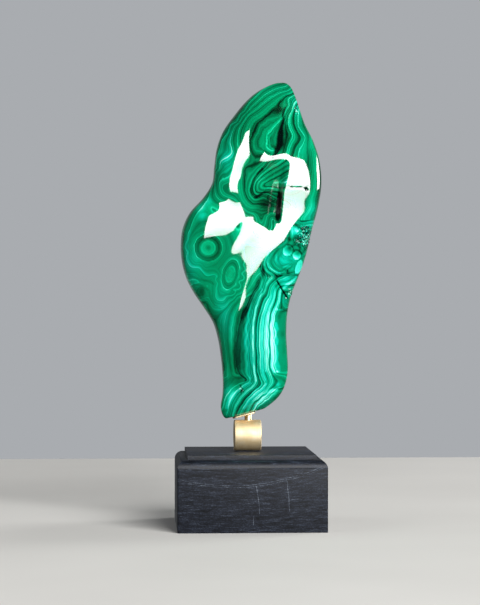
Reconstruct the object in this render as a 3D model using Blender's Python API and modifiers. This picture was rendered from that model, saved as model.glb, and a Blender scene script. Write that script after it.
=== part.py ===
"""Malachite freeform: a tall polished stone held upright on a brass drum over a dark wooden base.

Metres, +Z up. The origin is the middle of the base's underside. +Y points to the back.
Run with: blender --background --python part.py
"""

import math

import bmesh
import bpy
import numpy as np
from mathutils import Matrix, Vector

MM = 0.001
GAP = 0.3 * MM  # clearance between pieces that touch

# Wooden base: one block with a routed shoulder and a raised panel.
BASE_WIDTH = 101.6 * MM
LEDGE_HEIGHT = 48.8 * MM
SHOULDER_RADIUS = 5.9 * MM
LEDGE_WIDTH = 1.6 * MM
PANEL_STEP = 3.0 * MM
BASE_HEIGHT = LEDGE_HEIGHT + PANEL_STEP

# Brass drum, lying on its side across the base, and the pin that stands in it.
DRUM_RADIUS = 10.7 * MM
DRUM_LENGTH = 19.5 * MM
DRUM_X = -0.9 * MM
DRUM_EDGE = 0.7 * MM
PIN_RADIUS = 2.5 * MM
PIN_X = -0.4 * MM
BORE_DEPTH = 7.0 * MM

# Brass plate under the stone. Its slope is the slope of the flat ground on the stone's foot.
PLATE_LENGTH = 16.0 * MM
PLATE_WIDTH = 12.0 * MM
PLATE_THICKNESS = 1.0 * MM
PLATE_X = -3.4 * MM
PLATE_CORNER = 2.0 * MM
SEAT_POINT = (-11.0, 75.8)  # x and z of a point of the ground flat, millimetres
SEAT_SLOPE = 0.26

# The stone, in millimetres. Its outline from the front, as seen from DRAWN_FROM: x and z from
# the foot to the tip, on the upright plane through the middle of the base.
DRAWN_FROM = (-75.6, -1326.8, 146.7)
STONE_LEFT = [
    (-14, 73.8), (-18.6, 77.6), (-19.6, 83), (-18.3, 92), (-18.2, 103), (-19.6, 118),
    (-21.8, 131), (-25.5, 142.5), (-31.5, 152), (-38, 161.5), (-43.3, 171.5), (-46.6, 183),
    (-47.6, 196), (-46, 208), (-41, 218.5), (-32, 228.5), (-26, 238), (-24.2, 250),
    (-22.6, 262), (-18.5, 274), (-10, 286.5), (2, 299.8), (13, 306.8), (24, 309.7),
]
STONE_RIGHT = [
    (-14, 73.8), (-6, 75.9), (6, 79), (15.5, 84.6), (22, 91), (25.8, 99), (27.4, 108),
    (27, 120), (26.3, 134), (27.2, 149), (30.2, 162), (35.2, 174.5), (39.6, 187), (43.6, 204),
    (48.2, 221), (50.8, 238), (49.6, 254), (45, 269), (39.3, 280.5), (36, 290), (33, 299),
    (29.5, 306.5), (24, 309.7),
]
STONE_FOOT = STONE_LEFT[0][1]
STONE_TIP = STONE_LEFT[-1][1]

# What follows goes by height: how far the front and the back stand out from the middle,
# how far the middle leans back, and how much the right side turns back against the left.
FRONT_DEPTH = [
    (STONE_FOOT, 0), (78, 7), (90, 12), (110, 14.5), (140, 17.8), (155, 18.1), (170, 18.5),
    (195, 19.5), (215, 19.5), (228, 19), (240, 18.5), (256, 17), (272, 13.5), (285, 10.5),
    (300, 7), (STONE_TIP, 0),
]
BACK_DEPTH = [
    (STONE_FOOT, 0), (78, 6.5), (90, 11), (110, 13.5), (140, 15.5), (170, 18), (200, 20),
    (230, 20), (258, 18), (285, 13), (300, 8.5), (STONE_TIP, 0),
]
LEAN = [
    (STONE_FOOT, 0), (110, -1), (140, -3), (155, -2.7), (170, -2.2), (195, -1.5), (215, 0.2),
    (228, 1.9), (240, 3.1), (256, 5), (272, 8.8), (285, 13.5), (STONE_TIP, 22),
]
TURN = [
    (STONE_FOOT, 0), (110, -0.05), (150, 0.02), (185, 0.14), (205, 0.17), (242, 0.17),
    (270, 0.15), (STONE_TIP, 0),
]
FRONT_FULLNESS = 0.66  # below 1 the cross-section is fuller than an ellipse
BACK_FULLNESS = 0.7

# Swells, crests and dips: x, z, reach along, reach across, turn from +X in degrees, height.
FRONT_RELIEF = [
    (-48.5, 195.5, 38, 27, 52, 7.3),  # left shoulder
    (-1.5, 288, 30, 11.5, 75, 8.0),  # crest down the upper lobe
    (-16, 250, 16, 9, 78, 2.0),  # foot of that crest
    (-15, 235, 16, 7, -22, 1.8),  # underside of the upper lobe
    (-13, 217.5, 16, 7, -35, -0.9),  # dip between it and the shoulder
    (16, 269, 18, 6.5, 66, -2.4),  # fold that runs down to the hollow
    (9, 262, 6, 6, 0, -0.25),  # its left side
    (50, 226, 32, 14, 88, 6.0),  # right rim
    (24, 199, 20, 9, 52, 3.5),  # slanting ridge under the hollow
    (-12, 140, 24, 8, 72, 4.2),  # crest below it, down the waist
    (14, 168, 18, 10, 90, 1.5),  # low swell to its right
    (-8.5, 112, 20, 4.0, 86, -2.5),  # groove beside the lower crest
    (-8, 201, 14, 4, 58, -1.0),  # valley between shoulder and ridge
    (0, 173, 12, 8, 74, 1.1),  # end of the slanting ridge
    (-6, 183, 7, 6, 30, 0.35),  # low rise beside it
]
BACK_RELIEF = [
    (-22, 196, 30, 16, 70, 3.0),  # back of the shoulder
    (18, 236, 34, 13, 78, 3.5),  # long swell behind the hollow
    (-6, 262, 26, 10, 80, -3.5),  # dip between the two
    (8, 160, 34, 10, 100, 2.0),  # low crest down the waist
    (-8, 124, 24, 8, 85, -2.0),  # flute beside it
]

# The hollow around the druse: a long slope from the left down to a crease, and a short wall
# up from the crease to the right rim.
HOLLOW_X, HOLLOW_Z = 18.2, 230.5
HOLLOW_REACH = 20.0  # along the crease
HOLLOW_SLOPE, HOLLOW_WALL = 26.5, 4.0  # width of the left slope and of the right wall
HOLLOW_TURN = 76
HOLLOW_DEPTH = 9.0
CREASE_ROUND = 0.1  # how soft the crease is, as a share of the width
LIP_ROUND = 0.03  # how soft the upper edges are
STONE_SEGMENTS = 64
STONE_RINGS = 66

# Openings of the druse, cut into the front: x, z, half width, half height, turn, depth.
DRUSE_CUTS = [
    (22.5, 223.0, 1.9, 9.6, -3, 4.0),  # upright slot
    (11.2, 231.3, 1.5, 3.6, -78, 3.0),  # cleft in the hollow
    (39.8, 234.2, 1.3, 1.7, 20, 1.6),  # small pit on the rim
]

STONE_LOOK = ((0.006, 0.27, 0.13), 0.08, 0.0)
BRASS_LOOK = ((0.72, 0.52, 0.24), 0.18, 1.0)
WOOD_LOOK = ((0.028, 0.030, 0.034), 0.45, 0.0)


def clear_scene():
    for obj in list(bpy.data.objects):
        bpy.data.objects.remove(obj, do_unlink=True)


def new_collection(name):
    collection = bpy.data.collections.new(name)
    bpy.context.scene.collection.children.link(collection)
    return collection


def new_material(name, look):
    colour, roughness, metallic = look
    material = bpy.data.materials.new(name)
    material.use_nodes = True
    shader = material.node_tree.nodes["Principled BSDF"]
    shader.inputs["Base Color"].default_value = (*colour, 1.0)
    shader.inputs["Roughness"].default_value = roughness
    shader.inputs["Metallic"].default_value = metallic
    return material


def new_object(name, form, collection, look=None):
    """An object made of this bmesh, which is freed."""
    bmesh.ops.recalc_face_normals(form, faces=form.faces)
    mesh = bpy.data.meshes.new(name)
    form.to_mesh(mesh)
    form.free()
    obj = bpy.data.objects.new(name, mesh)
    collection.objects.link(obj)
    if look:
        mesh.materials.append(new_material(name, look))
    return obj


def shade(obj, sharp_above=30):
    obj.data.shade_smooth()
    obj.data.set_sharp_from_angle(angle=math.radians(sharp_above))


def hide_cutter(obj):
    obj.hide_render = True
    obj.display_type = "WIRE"


def cut(obj, cutter):
    hide_cutter(cutter)
    boolean = obj.modifiers.new("cut " + cutter.name, "BOOLEAN")
    boolean.operation = "DIFFERENCE"
    boolean.object = cutter


def rise(z):
    """The height as an angle: 0 at the foot of the stone, pi at its tip."""
    middle = (STONE_FOOT + STONE_TIP) / 2
    half = (STONE_TIP - STONE_FOOT) / 2
    return np.arccos(np.clip((middle - np.asarray(z, float)) / half, -1, 1))


def smooth_through(points, angle):
    """The smooth curve through (value, height) points, read at these height angles."""
    values = np.array([value for value, _ in points], float)
    knots = rise([z for _, z in points])
    slopes = np.gradient(values, knots)
    left = np.clip(np.searchsorted(knots, angle) - 1, 0, len(knots) - 2)
    width = knots[left + 1] - knots[left]
    t = (angle - knots[left]) / width
    return (
        (1 + 2 * t) * (1 - t) ** 2 * values[left]
        + t * (1 - t) ** 2 * width * slopes[left]
        + t * t * (3 - 2 * t) * values[left + 1]
        + t * t * (t - 1) * width * slopes[left + 1]
    )


def by_height(points, angle):
    return smooth_through([(value, z) for z, value in points], angle)


def along_and_across(x, z, centre_x, centre_z, turn):
    """Distances from a centre, along a direction and to its left."""
    c, s = math.cos(math.radians(turn)), math.sin(math.radians(turn))
    return (x - centre_x) * c + (z - centre_z) * s, (z - centre_z) * c - (x - centre_x) * s


def relief(x, z, table):
    total = np.zeros_like(x)
    for centre_x, centre_z, reach_along, reach_across, turn, height in table:
        along, across = along_and_across(x, z, centre_x, centre_z, turn)
        total += height * np.exp(-((along / reach_along) ** 2) - (across / reach_across) ** 2)
    return total


def hollow(x, z):
    """How far the hollow lies below the front around it."""
    along, across = along_and_across(x, z, HOLLOW_X, HOLLOW_Z, HOLLOW_TURN)
    away = across / np.where(across < 0, HOLLOW_WALL, HOLLOW_SLOPE)
    left_over = 1 - (np.sqrt(away**2 + CREASE_ROUND**2) - CREASE_ROUND)
    section = (left_over + np.sqrt(left_over**2 + LIP_ROUND)) / 2
    return HOLLOW_DEPTH * section * np.exp(-((along / HOLLOW_REACH) ** 4))


def seat_height(x):
    """Height in millimetres of the flat ground on the stone's foot."""
    return SEAT_POINT[1] + SEAT_SLOPE * (x - SEAT_POINT[0])


def stone_surface(angle, round_angle):
    """Millimetre points of the stone: round_angle is 0 at the right edge, pi/2 at the front."""
    z = (STONE_FOOT + STONE_TIP) / 2 - (STONE_TIP - STONE_FOOT) / 2 * np.cos(angle)
    left, right = smooth_through(STONE_LEFT, angle), smooth_through(STONE_RIGHT, angle)
    middle, half = (left + right) / 2, (right - left) / 2
    x = middle + half * np.cos(round_angle)
    out = np.sin(round_angle)
    width = np.abs(out)
    fade = 1 - (1 - width) ** 3  # the relief runs out at the two edges of the outline
    front = by_height(FRONT_DEPTH, angle) * width**FRONT_FULLNESS
    back = by_height(BACK_DEPTH, angle) * width**BACK_FULLNESS
    front += (relief(x, z, FRONT_RELIEF) - hollow(x, z)) * fade
    back += relief(x, z, BACK_RELIEF) * fade
    sheet = by_height(LEAN, angle) + by_height(TURN, angle) * (x - middle)
    view_x, view_y, view_z = DRAWN_FROM
    away = 1 - sheet / view_y  # what leans away from the viewer is drawn small
    x, z = view_x + (x - view_x) * away, view_z + (z - view_z) * away
    return x, np.where(out > 0, -front, back) + sheet, np.maximum(z, seat_height(x))


def front_at(x, z):
    """The y in millimetres of the stone's front at this place."""
    angle = rise([z])
    left, right = smooth_through(STONE_LEFT, angle), smooth_through(STONE_RIGHT, angle)
    round_angle = np.arccos((x - (left + right) / 2) / ((right - left) / 2))
    return float(stone_surface(angle, round_angle)[1][0])


def make_stone(parts, cutters):
    form = bmesh.new()
    bmesh.ops.create_uvsphere(
        form, u_segments=STONE_SEGMENTS, v_segments=STONE_RINGS, radius=1.0
    )
    ball = np.array([vert.co for vert in form.verts])
    angle = np.arccos(np.clip(-ball[:, 2], -1, 1))
    x, y, z = stone_surface(angle, np.arctan2(-ball[:, 1], ball[:, 0]))
    for vert, point in zip(form.verts, np.stack([x, y, z], axis=1)):
        vert.co = Vector(point) * MM
    stone = new_object("malachite_stone", form, parts, STONE_LOOK)
    shade(stone, sharp_above=50)
    for number, (cut_x, cut_z, half_width, half_height, turn, depth) in enumerate(DRUSE_CUTS, 1):
        tool = bmesh.new()
        bmesh.ops.create_icosphere(tool, subdivisions=2, radius=1.0)
        bmesh.ops.scale(tool, vec=(half_width, depth, half_height), verts=tool.verts)
        spin = Matrix.Rotation(math.radians(turn), 3, "Y")
        bmesh.ops.rotate(tool, cent=(0, 0, 0), matrix=spin, verts=tool.verts)
        bmesh.ops.translate(tool, vec=(cut_x, front_at(cut_x, cut_z), cut_z), verts=tool.verts)
        bmesh.ops.scale(tool, vec=(MM, MM, MM), verts=tool.verts)
        cut(stone, new_object(f"druse_cut_{number}", tool, cutters))
    return stone


def make_base(parts):
    form = bmesh.new()
    bmesh.ops.create_cube(form, size=1.0)
    bmesh.ops.scale(form, vec=(BASE_WIDTH, BASE_WIDTH, LEDGE_HEIGHT), verts=form.verts)
    bmesh.ops.translate(form, vec=(0, 0, LEDGE_HEIGHT / 2), verts=form.verts)
    top = max(form.faces, key=lambda face: face.calc_center_median().z)
    bmesh.ops.bevel(
        form,
        geom=list(top.edges),
        offset=SHOULDER_RADIUS,
        offset_type="OFFSET",
        segments=6,
        profile=0.5,
        affect="EDGES",
        clamp_overlap=True,
    )
    top = max(form.faces, key=lambda face: (round(face.calc_center_median().z, 5), face.calc_area()))
    bmesh.ops.inset_region(form, faces=[top], thickness=LEDGE_WIDTH)
    raised = bmesh.ops.extrude_face_region(form, geom=[top])["geom"]
    bmesh.ops.translate(
        form,
        vec=(0, 0, PANEL_STEP),
        verts=[item for item in raised if isinstance(item, bmesh.types.BMVert)],
    )
    bmesh.ops.delete(form, geom=[top], context="FACES_ONLY")
    base = new_object("wood_base", form, parts, WOOD_LOOK)
    shade(base)
    return base


def make_drum(parts, cutters):
    form = bmesh.new()
    bmesh.ops.create_cone(
        form,
        cap_ends=True,
        segments=48,
        radius1=DRUM_RADIUS,
        radius2=DRUM_RADIUS,
        depth=DRUM_LENGTH,
    )
    bmesh.ops.rotate(form, cent=(0, 0, 0), matrix=Matrix.Rotation(math.pi / 2, 3, "Y"), verts=form.verts)
    middle_z = BASE_HEIGHT + GAP + DRUM_RADIUS
    bmesh.ops.translate(form, vec=(DRUM_X, 0, middle_z), verts=form.verts)
    drum = new_object("brass_drum", form, parts, BRASS_LOOK)
    shade(drum)
    edge = drum.modifiers.new("edge", "BEVEL")
    edge.width = DRUM_EDGE
    edge.segments = 2
    edge.limit_method = "ANGLE"
    edge.angle_limit = math.radians(60)
    hole = bmesh.new()
    bmesh.ops.create_cone(
        hole,
        cap_ends=True,
        segments=32,
        radius1=PIN_RADIUS + GAP,
        radius2=PIN_RADIUS + GAP,
        depth=2 * BORE_DEPTH,
    )
    bmesh.ops.translate(hole, vec=(PIN_X, 0, middle_z + DRUM_RADIUS), verts=hole.verts)
    cut(drum, new_object("pin_bore", hole, cutters))
    return drum


def make_plate(parts):
    tilt = math.atan(SEAT_SLOPE)
    form = bmesh.new()
    bmesh.ops.create_cube(form, size=1.0)
    bmesh.ops.scale(form, vec=(PLATE_LENGTH, PLATE_WIDTH, PLATE_THICKNESS), verts=form.verts)
    corners = [
        edge for edge in form.edges
        if abs(edge.verts[0].co.z - edge.verts[1].co.z) > PLATE_THICKNESS / 2
    ]
    bmesh.ops.bevel(
        form, geom=corners, offset=PLATE_CORNER, offset_type="OFFSET", segments=5, profile=0.5,
        affect="EDGES",
    )
    bmesh.ops.rotate(form, cent=(0, 0, 0), matrix=Matrix.Rotation(-tilt, 3, "Y"), verts=form.verts)
    bmesh.ops.translate(form, vec=(PLATE_X, 0, plate_middle(PLATE_X)), verts=form.verts)
    plate = new_object("brass_plate", form, parts, BRASS_LOOK)
    shade(plate)
    return plate


def plate_middle(x):
    """Height of the plate's middle sheet above a place x."""
    drop = (GAP + PLATE_THICKNESS / 2) / math.cos(math.atan(SEAT_SLOPE))
    return seat_height(x / MM) * MM - drop


def make_pin(parts):
    foot = BASE_HEIGHT + GAP + 2 * DRUM_RADIUS - BORE_DEPTH + GAP
    drop = (PLATE_THICKNESS / 2 + GAP) / math.cos(math.atan(SEAT_SLOPE))
    form = bmesh.new()
    bmesh.ops.create_cone(
        form, cap_ends=True, segments=32, radius1=PIN_RADIUS, radius2=PIN_RADIUS, depth=1.0
    )
    for vert in form.verts:
        vert.co.x += PIN_X
        vert.co.z = plate_middle(vert.co.x) - drop if vert.co.z > 0 else foot
    pin = new_object("brass_pin", form, parts, BRASS_LOOK)
    shade(pin)
    return pin


def main():
    clear_scene()
    parts = new_collection("malachite_freeform")
    cutters = new_collection("cutters")
    make_stone(parts, cutters)
    make_plate(parts)
    make_pin(parts)
    make_drum(parts, cutters)
    make_base(parts)


main()
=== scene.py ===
# Malachite freeform on a brass and dark wood stand: fine shapes, finishes, floor, light and camera.
import math
import random

import bmesh
import bpy
import numpy as np
from mathutils import Matrix, Vector


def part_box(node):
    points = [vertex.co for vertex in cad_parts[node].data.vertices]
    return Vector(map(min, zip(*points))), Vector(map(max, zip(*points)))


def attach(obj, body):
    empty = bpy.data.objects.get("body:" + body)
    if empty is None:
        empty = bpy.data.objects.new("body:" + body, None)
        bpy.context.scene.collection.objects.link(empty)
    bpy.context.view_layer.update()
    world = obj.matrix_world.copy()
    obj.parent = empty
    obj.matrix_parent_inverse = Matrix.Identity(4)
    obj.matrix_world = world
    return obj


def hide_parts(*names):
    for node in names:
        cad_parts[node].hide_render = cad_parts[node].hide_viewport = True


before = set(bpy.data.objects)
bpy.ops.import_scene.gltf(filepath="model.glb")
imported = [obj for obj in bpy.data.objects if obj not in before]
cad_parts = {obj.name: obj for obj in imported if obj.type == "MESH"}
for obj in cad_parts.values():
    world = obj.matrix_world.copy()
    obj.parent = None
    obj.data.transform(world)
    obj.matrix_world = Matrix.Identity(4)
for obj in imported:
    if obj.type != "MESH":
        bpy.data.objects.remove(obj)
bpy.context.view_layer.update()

mm = 0.001


def linear(hexColour):
    # sRGB hex to linear RGBA
    parts = [int(hexColour[i:i + 2], 16) / 255 for i in (1, 3, 5)]
    return tuple(c / 12.92 if c <= 0.04045 else ((c + 0.055) / 1.055) ** 2.4 for c in parts) + (1.0,)


def feed(node, inputs):
    # Gives each input a value, or links it to a socket or to the first output of a node
    for name, value in inputs.items():
        if isinstance(value, bpy.types.Node):
            value = value.outputs[0]
        if isinstance(value, bpy.types.NodeSocket):
            node.id_data.links.new(value, node.inputs[name])
        else:
            node.inputs[name].default_value = value


def addNode(tree, kind, inputs=None, stops=None, **settings):
    # A node with its settings and inputs; the stops of a ramp are hex colours or greys
    node = tree.nodes.new("ShaderNode" + kind)
    for name, value in settings.items():
        setattr(node, name, value)
    feed(node, inputs or {})
    if stops:
        elements = node.color_ramp.elements
        while len(elements) < len(stops):
            elements.new(1.0)
        for element, (place, colour) in zip(elements, stops):
            element.position = place
            element.color = linear(colour) if isinstance(colour, str) else (colour, colour, colour, 1.0)
    return node


def newMaterial(name):
    # A new material with its tree, its shader and the place on the object, in metres
    material = bpy.data.materials.new(name)
    material.use_nodes = True
    tree = material.node_tree
    place = addNode(tree, "TexCoord").outputs["Object"]
    return material, tree, tree.nodes["Principled BSDF"], place


def newObject(name, form, material):
    # Turns a bmesh into an object at the origin
    mesh = bpy.data.meshes.new(name)
    form.to_mesh(mesh)
    form.free()
    mesh.materials.append(material)
    made = bpy.data.objects.new(name, mesh)
    bpy.context.scene.collection.objects.link(made)
    return made


def finishPiece(name, form, material, slot, *nodes):
    # A piece of the object, from a bmesh in millimetres; it stands for these CAD nodes
    bmesh.ops.scale(form, vec=(mm, mm, mm), verts=form.verts)
    bmesh.ops.recalc_face_normals(form, faces=form.faces)
    piece = newObject(name, form, material)
    piece.data.shade_smooth()
    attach(piece, "root")
    if nodes:
        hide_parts(*nodes)
    return piece


def frameBox(node):
    # Lowest and highest corner of a CAD node, in millimetres
    low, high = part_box(node)
    return np.array(low) / mm, np.array(high) / mm


def roundEdges(form, edges, radius, segments):
    bmesh.ops.bevel(form, geom=edges, offset=radius, offset_type="OFFSET", segments=segments, profile=0.5,
                    affect="EDGES", material=-1)


# The stone's shape, in millimetres: the same outline and relief as the CAD solid, on a finer mesh
stone = {
    "drawnFrom": (-75.6, -1326.8, 146.7),  # the outline and the bands are drawn as seen from here
    "left": [
        (-14, 73.8), (-18.6, 77.6), (-19.6, 83), (-18.3, 92), (-18.2, 103), (-19.6, 118),
        (-21.8, 131), (-25.5, 142.5), (-31.5, 152), (-38, 161.5), (-43.3, 171.5), (-46.6, 183),
        (-47.6, 196), (-46, 208), (-41, 218.5), (-32, 228.5), (-26, 238), (-24.2, 250),
        (-22.6, 262), (-18.5, 274), (-10, 286.5), (2, 299.8), (13, 306.8), (24, 309.7),
    ],
    "right": [
        (-14, 73.8), (-6, 75.9), (6, 79), (15.5, 84.6), (22, 91), (25.8, 99), (27.4, 108),
        (27, 120), (26.3, 134), (27.2, 149), (30.2, 162), (35.2, 174.5), (39.6, 187), (43.6, 204),
        (48.2, 221), (50.8, 238), (49.6, 254), (45, 269), (39.3, 280.5), (36, 290), (33, 299),
        (29.5, 306.5), (24, 309.7),
    ],
    "frontDepth": [
        (0, 73.8), (7, 78), (12, 90), (14.5, 110), (17.8, 140), (18.1, 155), (18.5, 170),
        (19.5, 195), (19.5, 215), (19, 228), (18.5, 240), (17, 256), (13.5, 272), (10.5, 285),
        (7, 300), (0, 309.7),
    ],
    "backDepth": [
        (0, 73.8), (6.5, 78), (11, 90), (13.5, 110), (15.5, 140), (18, 170), (20, 200),
        (20, 230), (18, 258), (13, 285), (8.5, 300), (0, 309.7),
    ],
    "lean": [
        (0, 73.8), (-1, 110), (-3, 140), (-2.7, 155), (-2.2, 170), (-1.5, 195), (0.2, 215),
        (1.9, 228), (3.1, 240), (5, 256), (8.8, 272), (13.5, 285), (22, 309.7),
    ],
    "turn": [
        (0, 73.8), (-0.05, 110), (0.02, 150), (0.14, 185), (0.17, 205), (0.17, 242),
        (0.15, 270), (0, 309.7),
    ],
    "frontFullness": 0.66,
    "backFullness": 0.7,
    # Swells, crests and dips: x, z, reach along, reach across, turn in degrees, height
    "frontRelief": [
        (-48.5, 195.5, 38, 27, 52, 7.3), (-1.5, 288, 30, 11.5, 75, 8.0), (-16, 250, 16, 9, 78, 2.0),
        (-15, 235, 16, 7, -22, 1.8), (-13, 217.5, 16, 7, -35, -0.9), (16, 269, 18, 6.5, 66, -2.4),
        (9, 262, 6, 6, 0, -0.25), (50, 226, 32, 14, 88, 6.0), (24, 199, 20, 9, 52, 3.5),
        (-12, 140, 24, 8, 72, 4.2), (14, 168, 18, 10, 90, 1.5), (-8.5, 112, 20, 4.0, 86, -2.5),
        (-8, 201, 14, 4, 58, -1.0), (0, 173, 12, 8, 74, 1.1), (-6, 183, 7, 6, 30, 0.35),
    ],
    "backRelief": [
        (-22, 196, 30, 16, 70, 3.0), (18, 236, 34, 13, 78, 3.5), (-6, 262, 26, 10, 80, -3.5),
        (8, 160, 34, 10, 100, 2.0), (-8, 124, 24, 8, 85, -2.0),
    ],
    # As in the CAD solid, but the crease is sharper, and beside the slot it stands nearer to the wall
    "hollow": {"x": 18.2, "z": 230.5, "reach": 20.0, "slope": 26.5, "wall": 4.0, "turn": 76, "depth": 9.0,
               "creaseRound": 0.05, "lipRound": 0.03, "shift": 2.4, "shiftAt": -8, "shiftReach": 13},
    "seat": (-11.0, 75.8, 0.26),  # a point of the flat ground on the foot, and its slope
    "segments": 300,
    "rings": 330,
    "frontShare": 0.25,  # more of the mesh goes to the front
    "faceShare": 0.15,  # and to the broad faces
    "evenRings": 0.6,
}

foot, tip = stone["left"][0][1], stone["left"][-1][1]


def eased(share):
    return share * share * (3 - 2 * share)


def riseAngle(z):
    # Height as an angle, 0 at the foot and pi at the tip
    return np.arccos(np.clip(((foot + tip) / 2 - np.asarray(z, float)) / ((tip - foot) / 2), -1, 1))


def smoothThrough(points, angle):
    # Smooth curve through (value, height) points
    values = np.array([value for value, _ in points], float)
    knots = riseAngle([z for _, z in points])
    slopes = np.gradient(values, knots)
    left = np.clip(np.searchsorted(knots, angle) - 1, 0, len(knots) - 2)
    width = knots[left + 1] - knots[left]
    t = (angle - knots[left]) / width
    ends = eased(1 - t) * values[left] + eased(t) * values[left + 1]
    return ends + t * (1 - t) * width * ((1 - t) * slopes[left] - t * slopes[left + 1])


def middleAndHalf(angle):
    # Middle and half width of the outline at this height
    left, right = smoothThrough(stone["left"], angle), smoothThrough(stone["right"], angle)
    return (left + right) / 2, (right - left) / 2


def alongAndAcross(x, z, centreX, centreZ, turn):
    # Distances from a centre, along a direction and to its left
    c, s = math.cos(math.radians(turn)), math.sin(math.radians(turn))
    return (x - centreX) * c + (z - centreZ) * s, (z - centreZ) * c - (x - centreX) * s


def relief(x, z, table):
    total = np.zeros_like(x)
    for centreX, centreZ, reachAlong, reachAcross, turn, height in table:
        along, across = alongAndAcross(x, z, centreX, centreZ, turn)
        total += height * np.exp(-((along / reachAlong) ** 2) - (across / reachAcross) ** 2)
    return total


def hollowDepth(x, z):
    # How far the hollow lies below the front around it
    h = stone["hollow"]
    along, across = alongAndAcross(x, z, h["x"], h["z"], h["turn"])
    shift = h["shift"] * np.exp(-(((along - h["shiftAt"]) / h["shiftReach"]) ** 4))
    across = across + shift
    away = across / np.where(across < 0, h["wall"] - shift, h["slope"] + shift)
    leftOver = 1 - (np.sqrt(away**2 + h["creaseRound"] ** 2) - h["creaseRound"])
    section = (leftOver + np.sqrt(leftOver**2 + h["lipRound"])) / 2
    return h["depth"] * section * np.exp(-((along / h["reach"]) ** 4))


def stoneSurface(angle, roundAngle):
    # Points of the stone, and how far each stands behind its middle sheet
    z = (foot + tip) / 2 - (tip - foot) / 2 * np.cos(angle)
    middle, half = middleAndHalf(angle)
    x = middle + half * np.cos(roundAngle)
    width = np.abs(np.sin(roundAngle))
    fade = 1 - (1 - width) ** 3  # relief runs out at the two edges of the outline
    front = smoothThrough(stone["frontDepth"], angle) * width ** stone["frontFullness"]
    back = smoothThrough(stone["backDepth"], angle) * width ** stone["backFullness"]
    front += (relief(x, z, stone["frontRelief"]) - hollowDepth(x, z)) * fade
    back += relief(x, z, stone["backRelief"]) * fade
    behind = np.where(np.sin(roundAngle) > 0, -front, back)
    sheet = smoothThrough(stone["lean"], angle) + smoothThrough(stone["turn"], angle) * (x - middle)
    viewX, viewY, viewZ = stone["drawnFrom"]
    away = 1 - sheet / viewY  # the outline is drawn as seen, so what leans away is drawn small
    x, z = viewX + (x - viewX) * away, viewZ + (z - viewZ) * away
    seatX, seatZ, seatSlope = stone["seat"]
    return np.stack([x, behind + sheet, np.maximum(z, seatZ + seatSlope * (x - seatX))], axis=1), behind


def frontPoint(x, z):
    # The point of the polished front at this place
    angle = riseAngle(np.array([z]))
    middle, half = middleAndHalf(angle)
    return stoneSurface(angle, np.arccos(np.clip((x - middle) / half, -1, 1)))[0][0]


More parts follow.
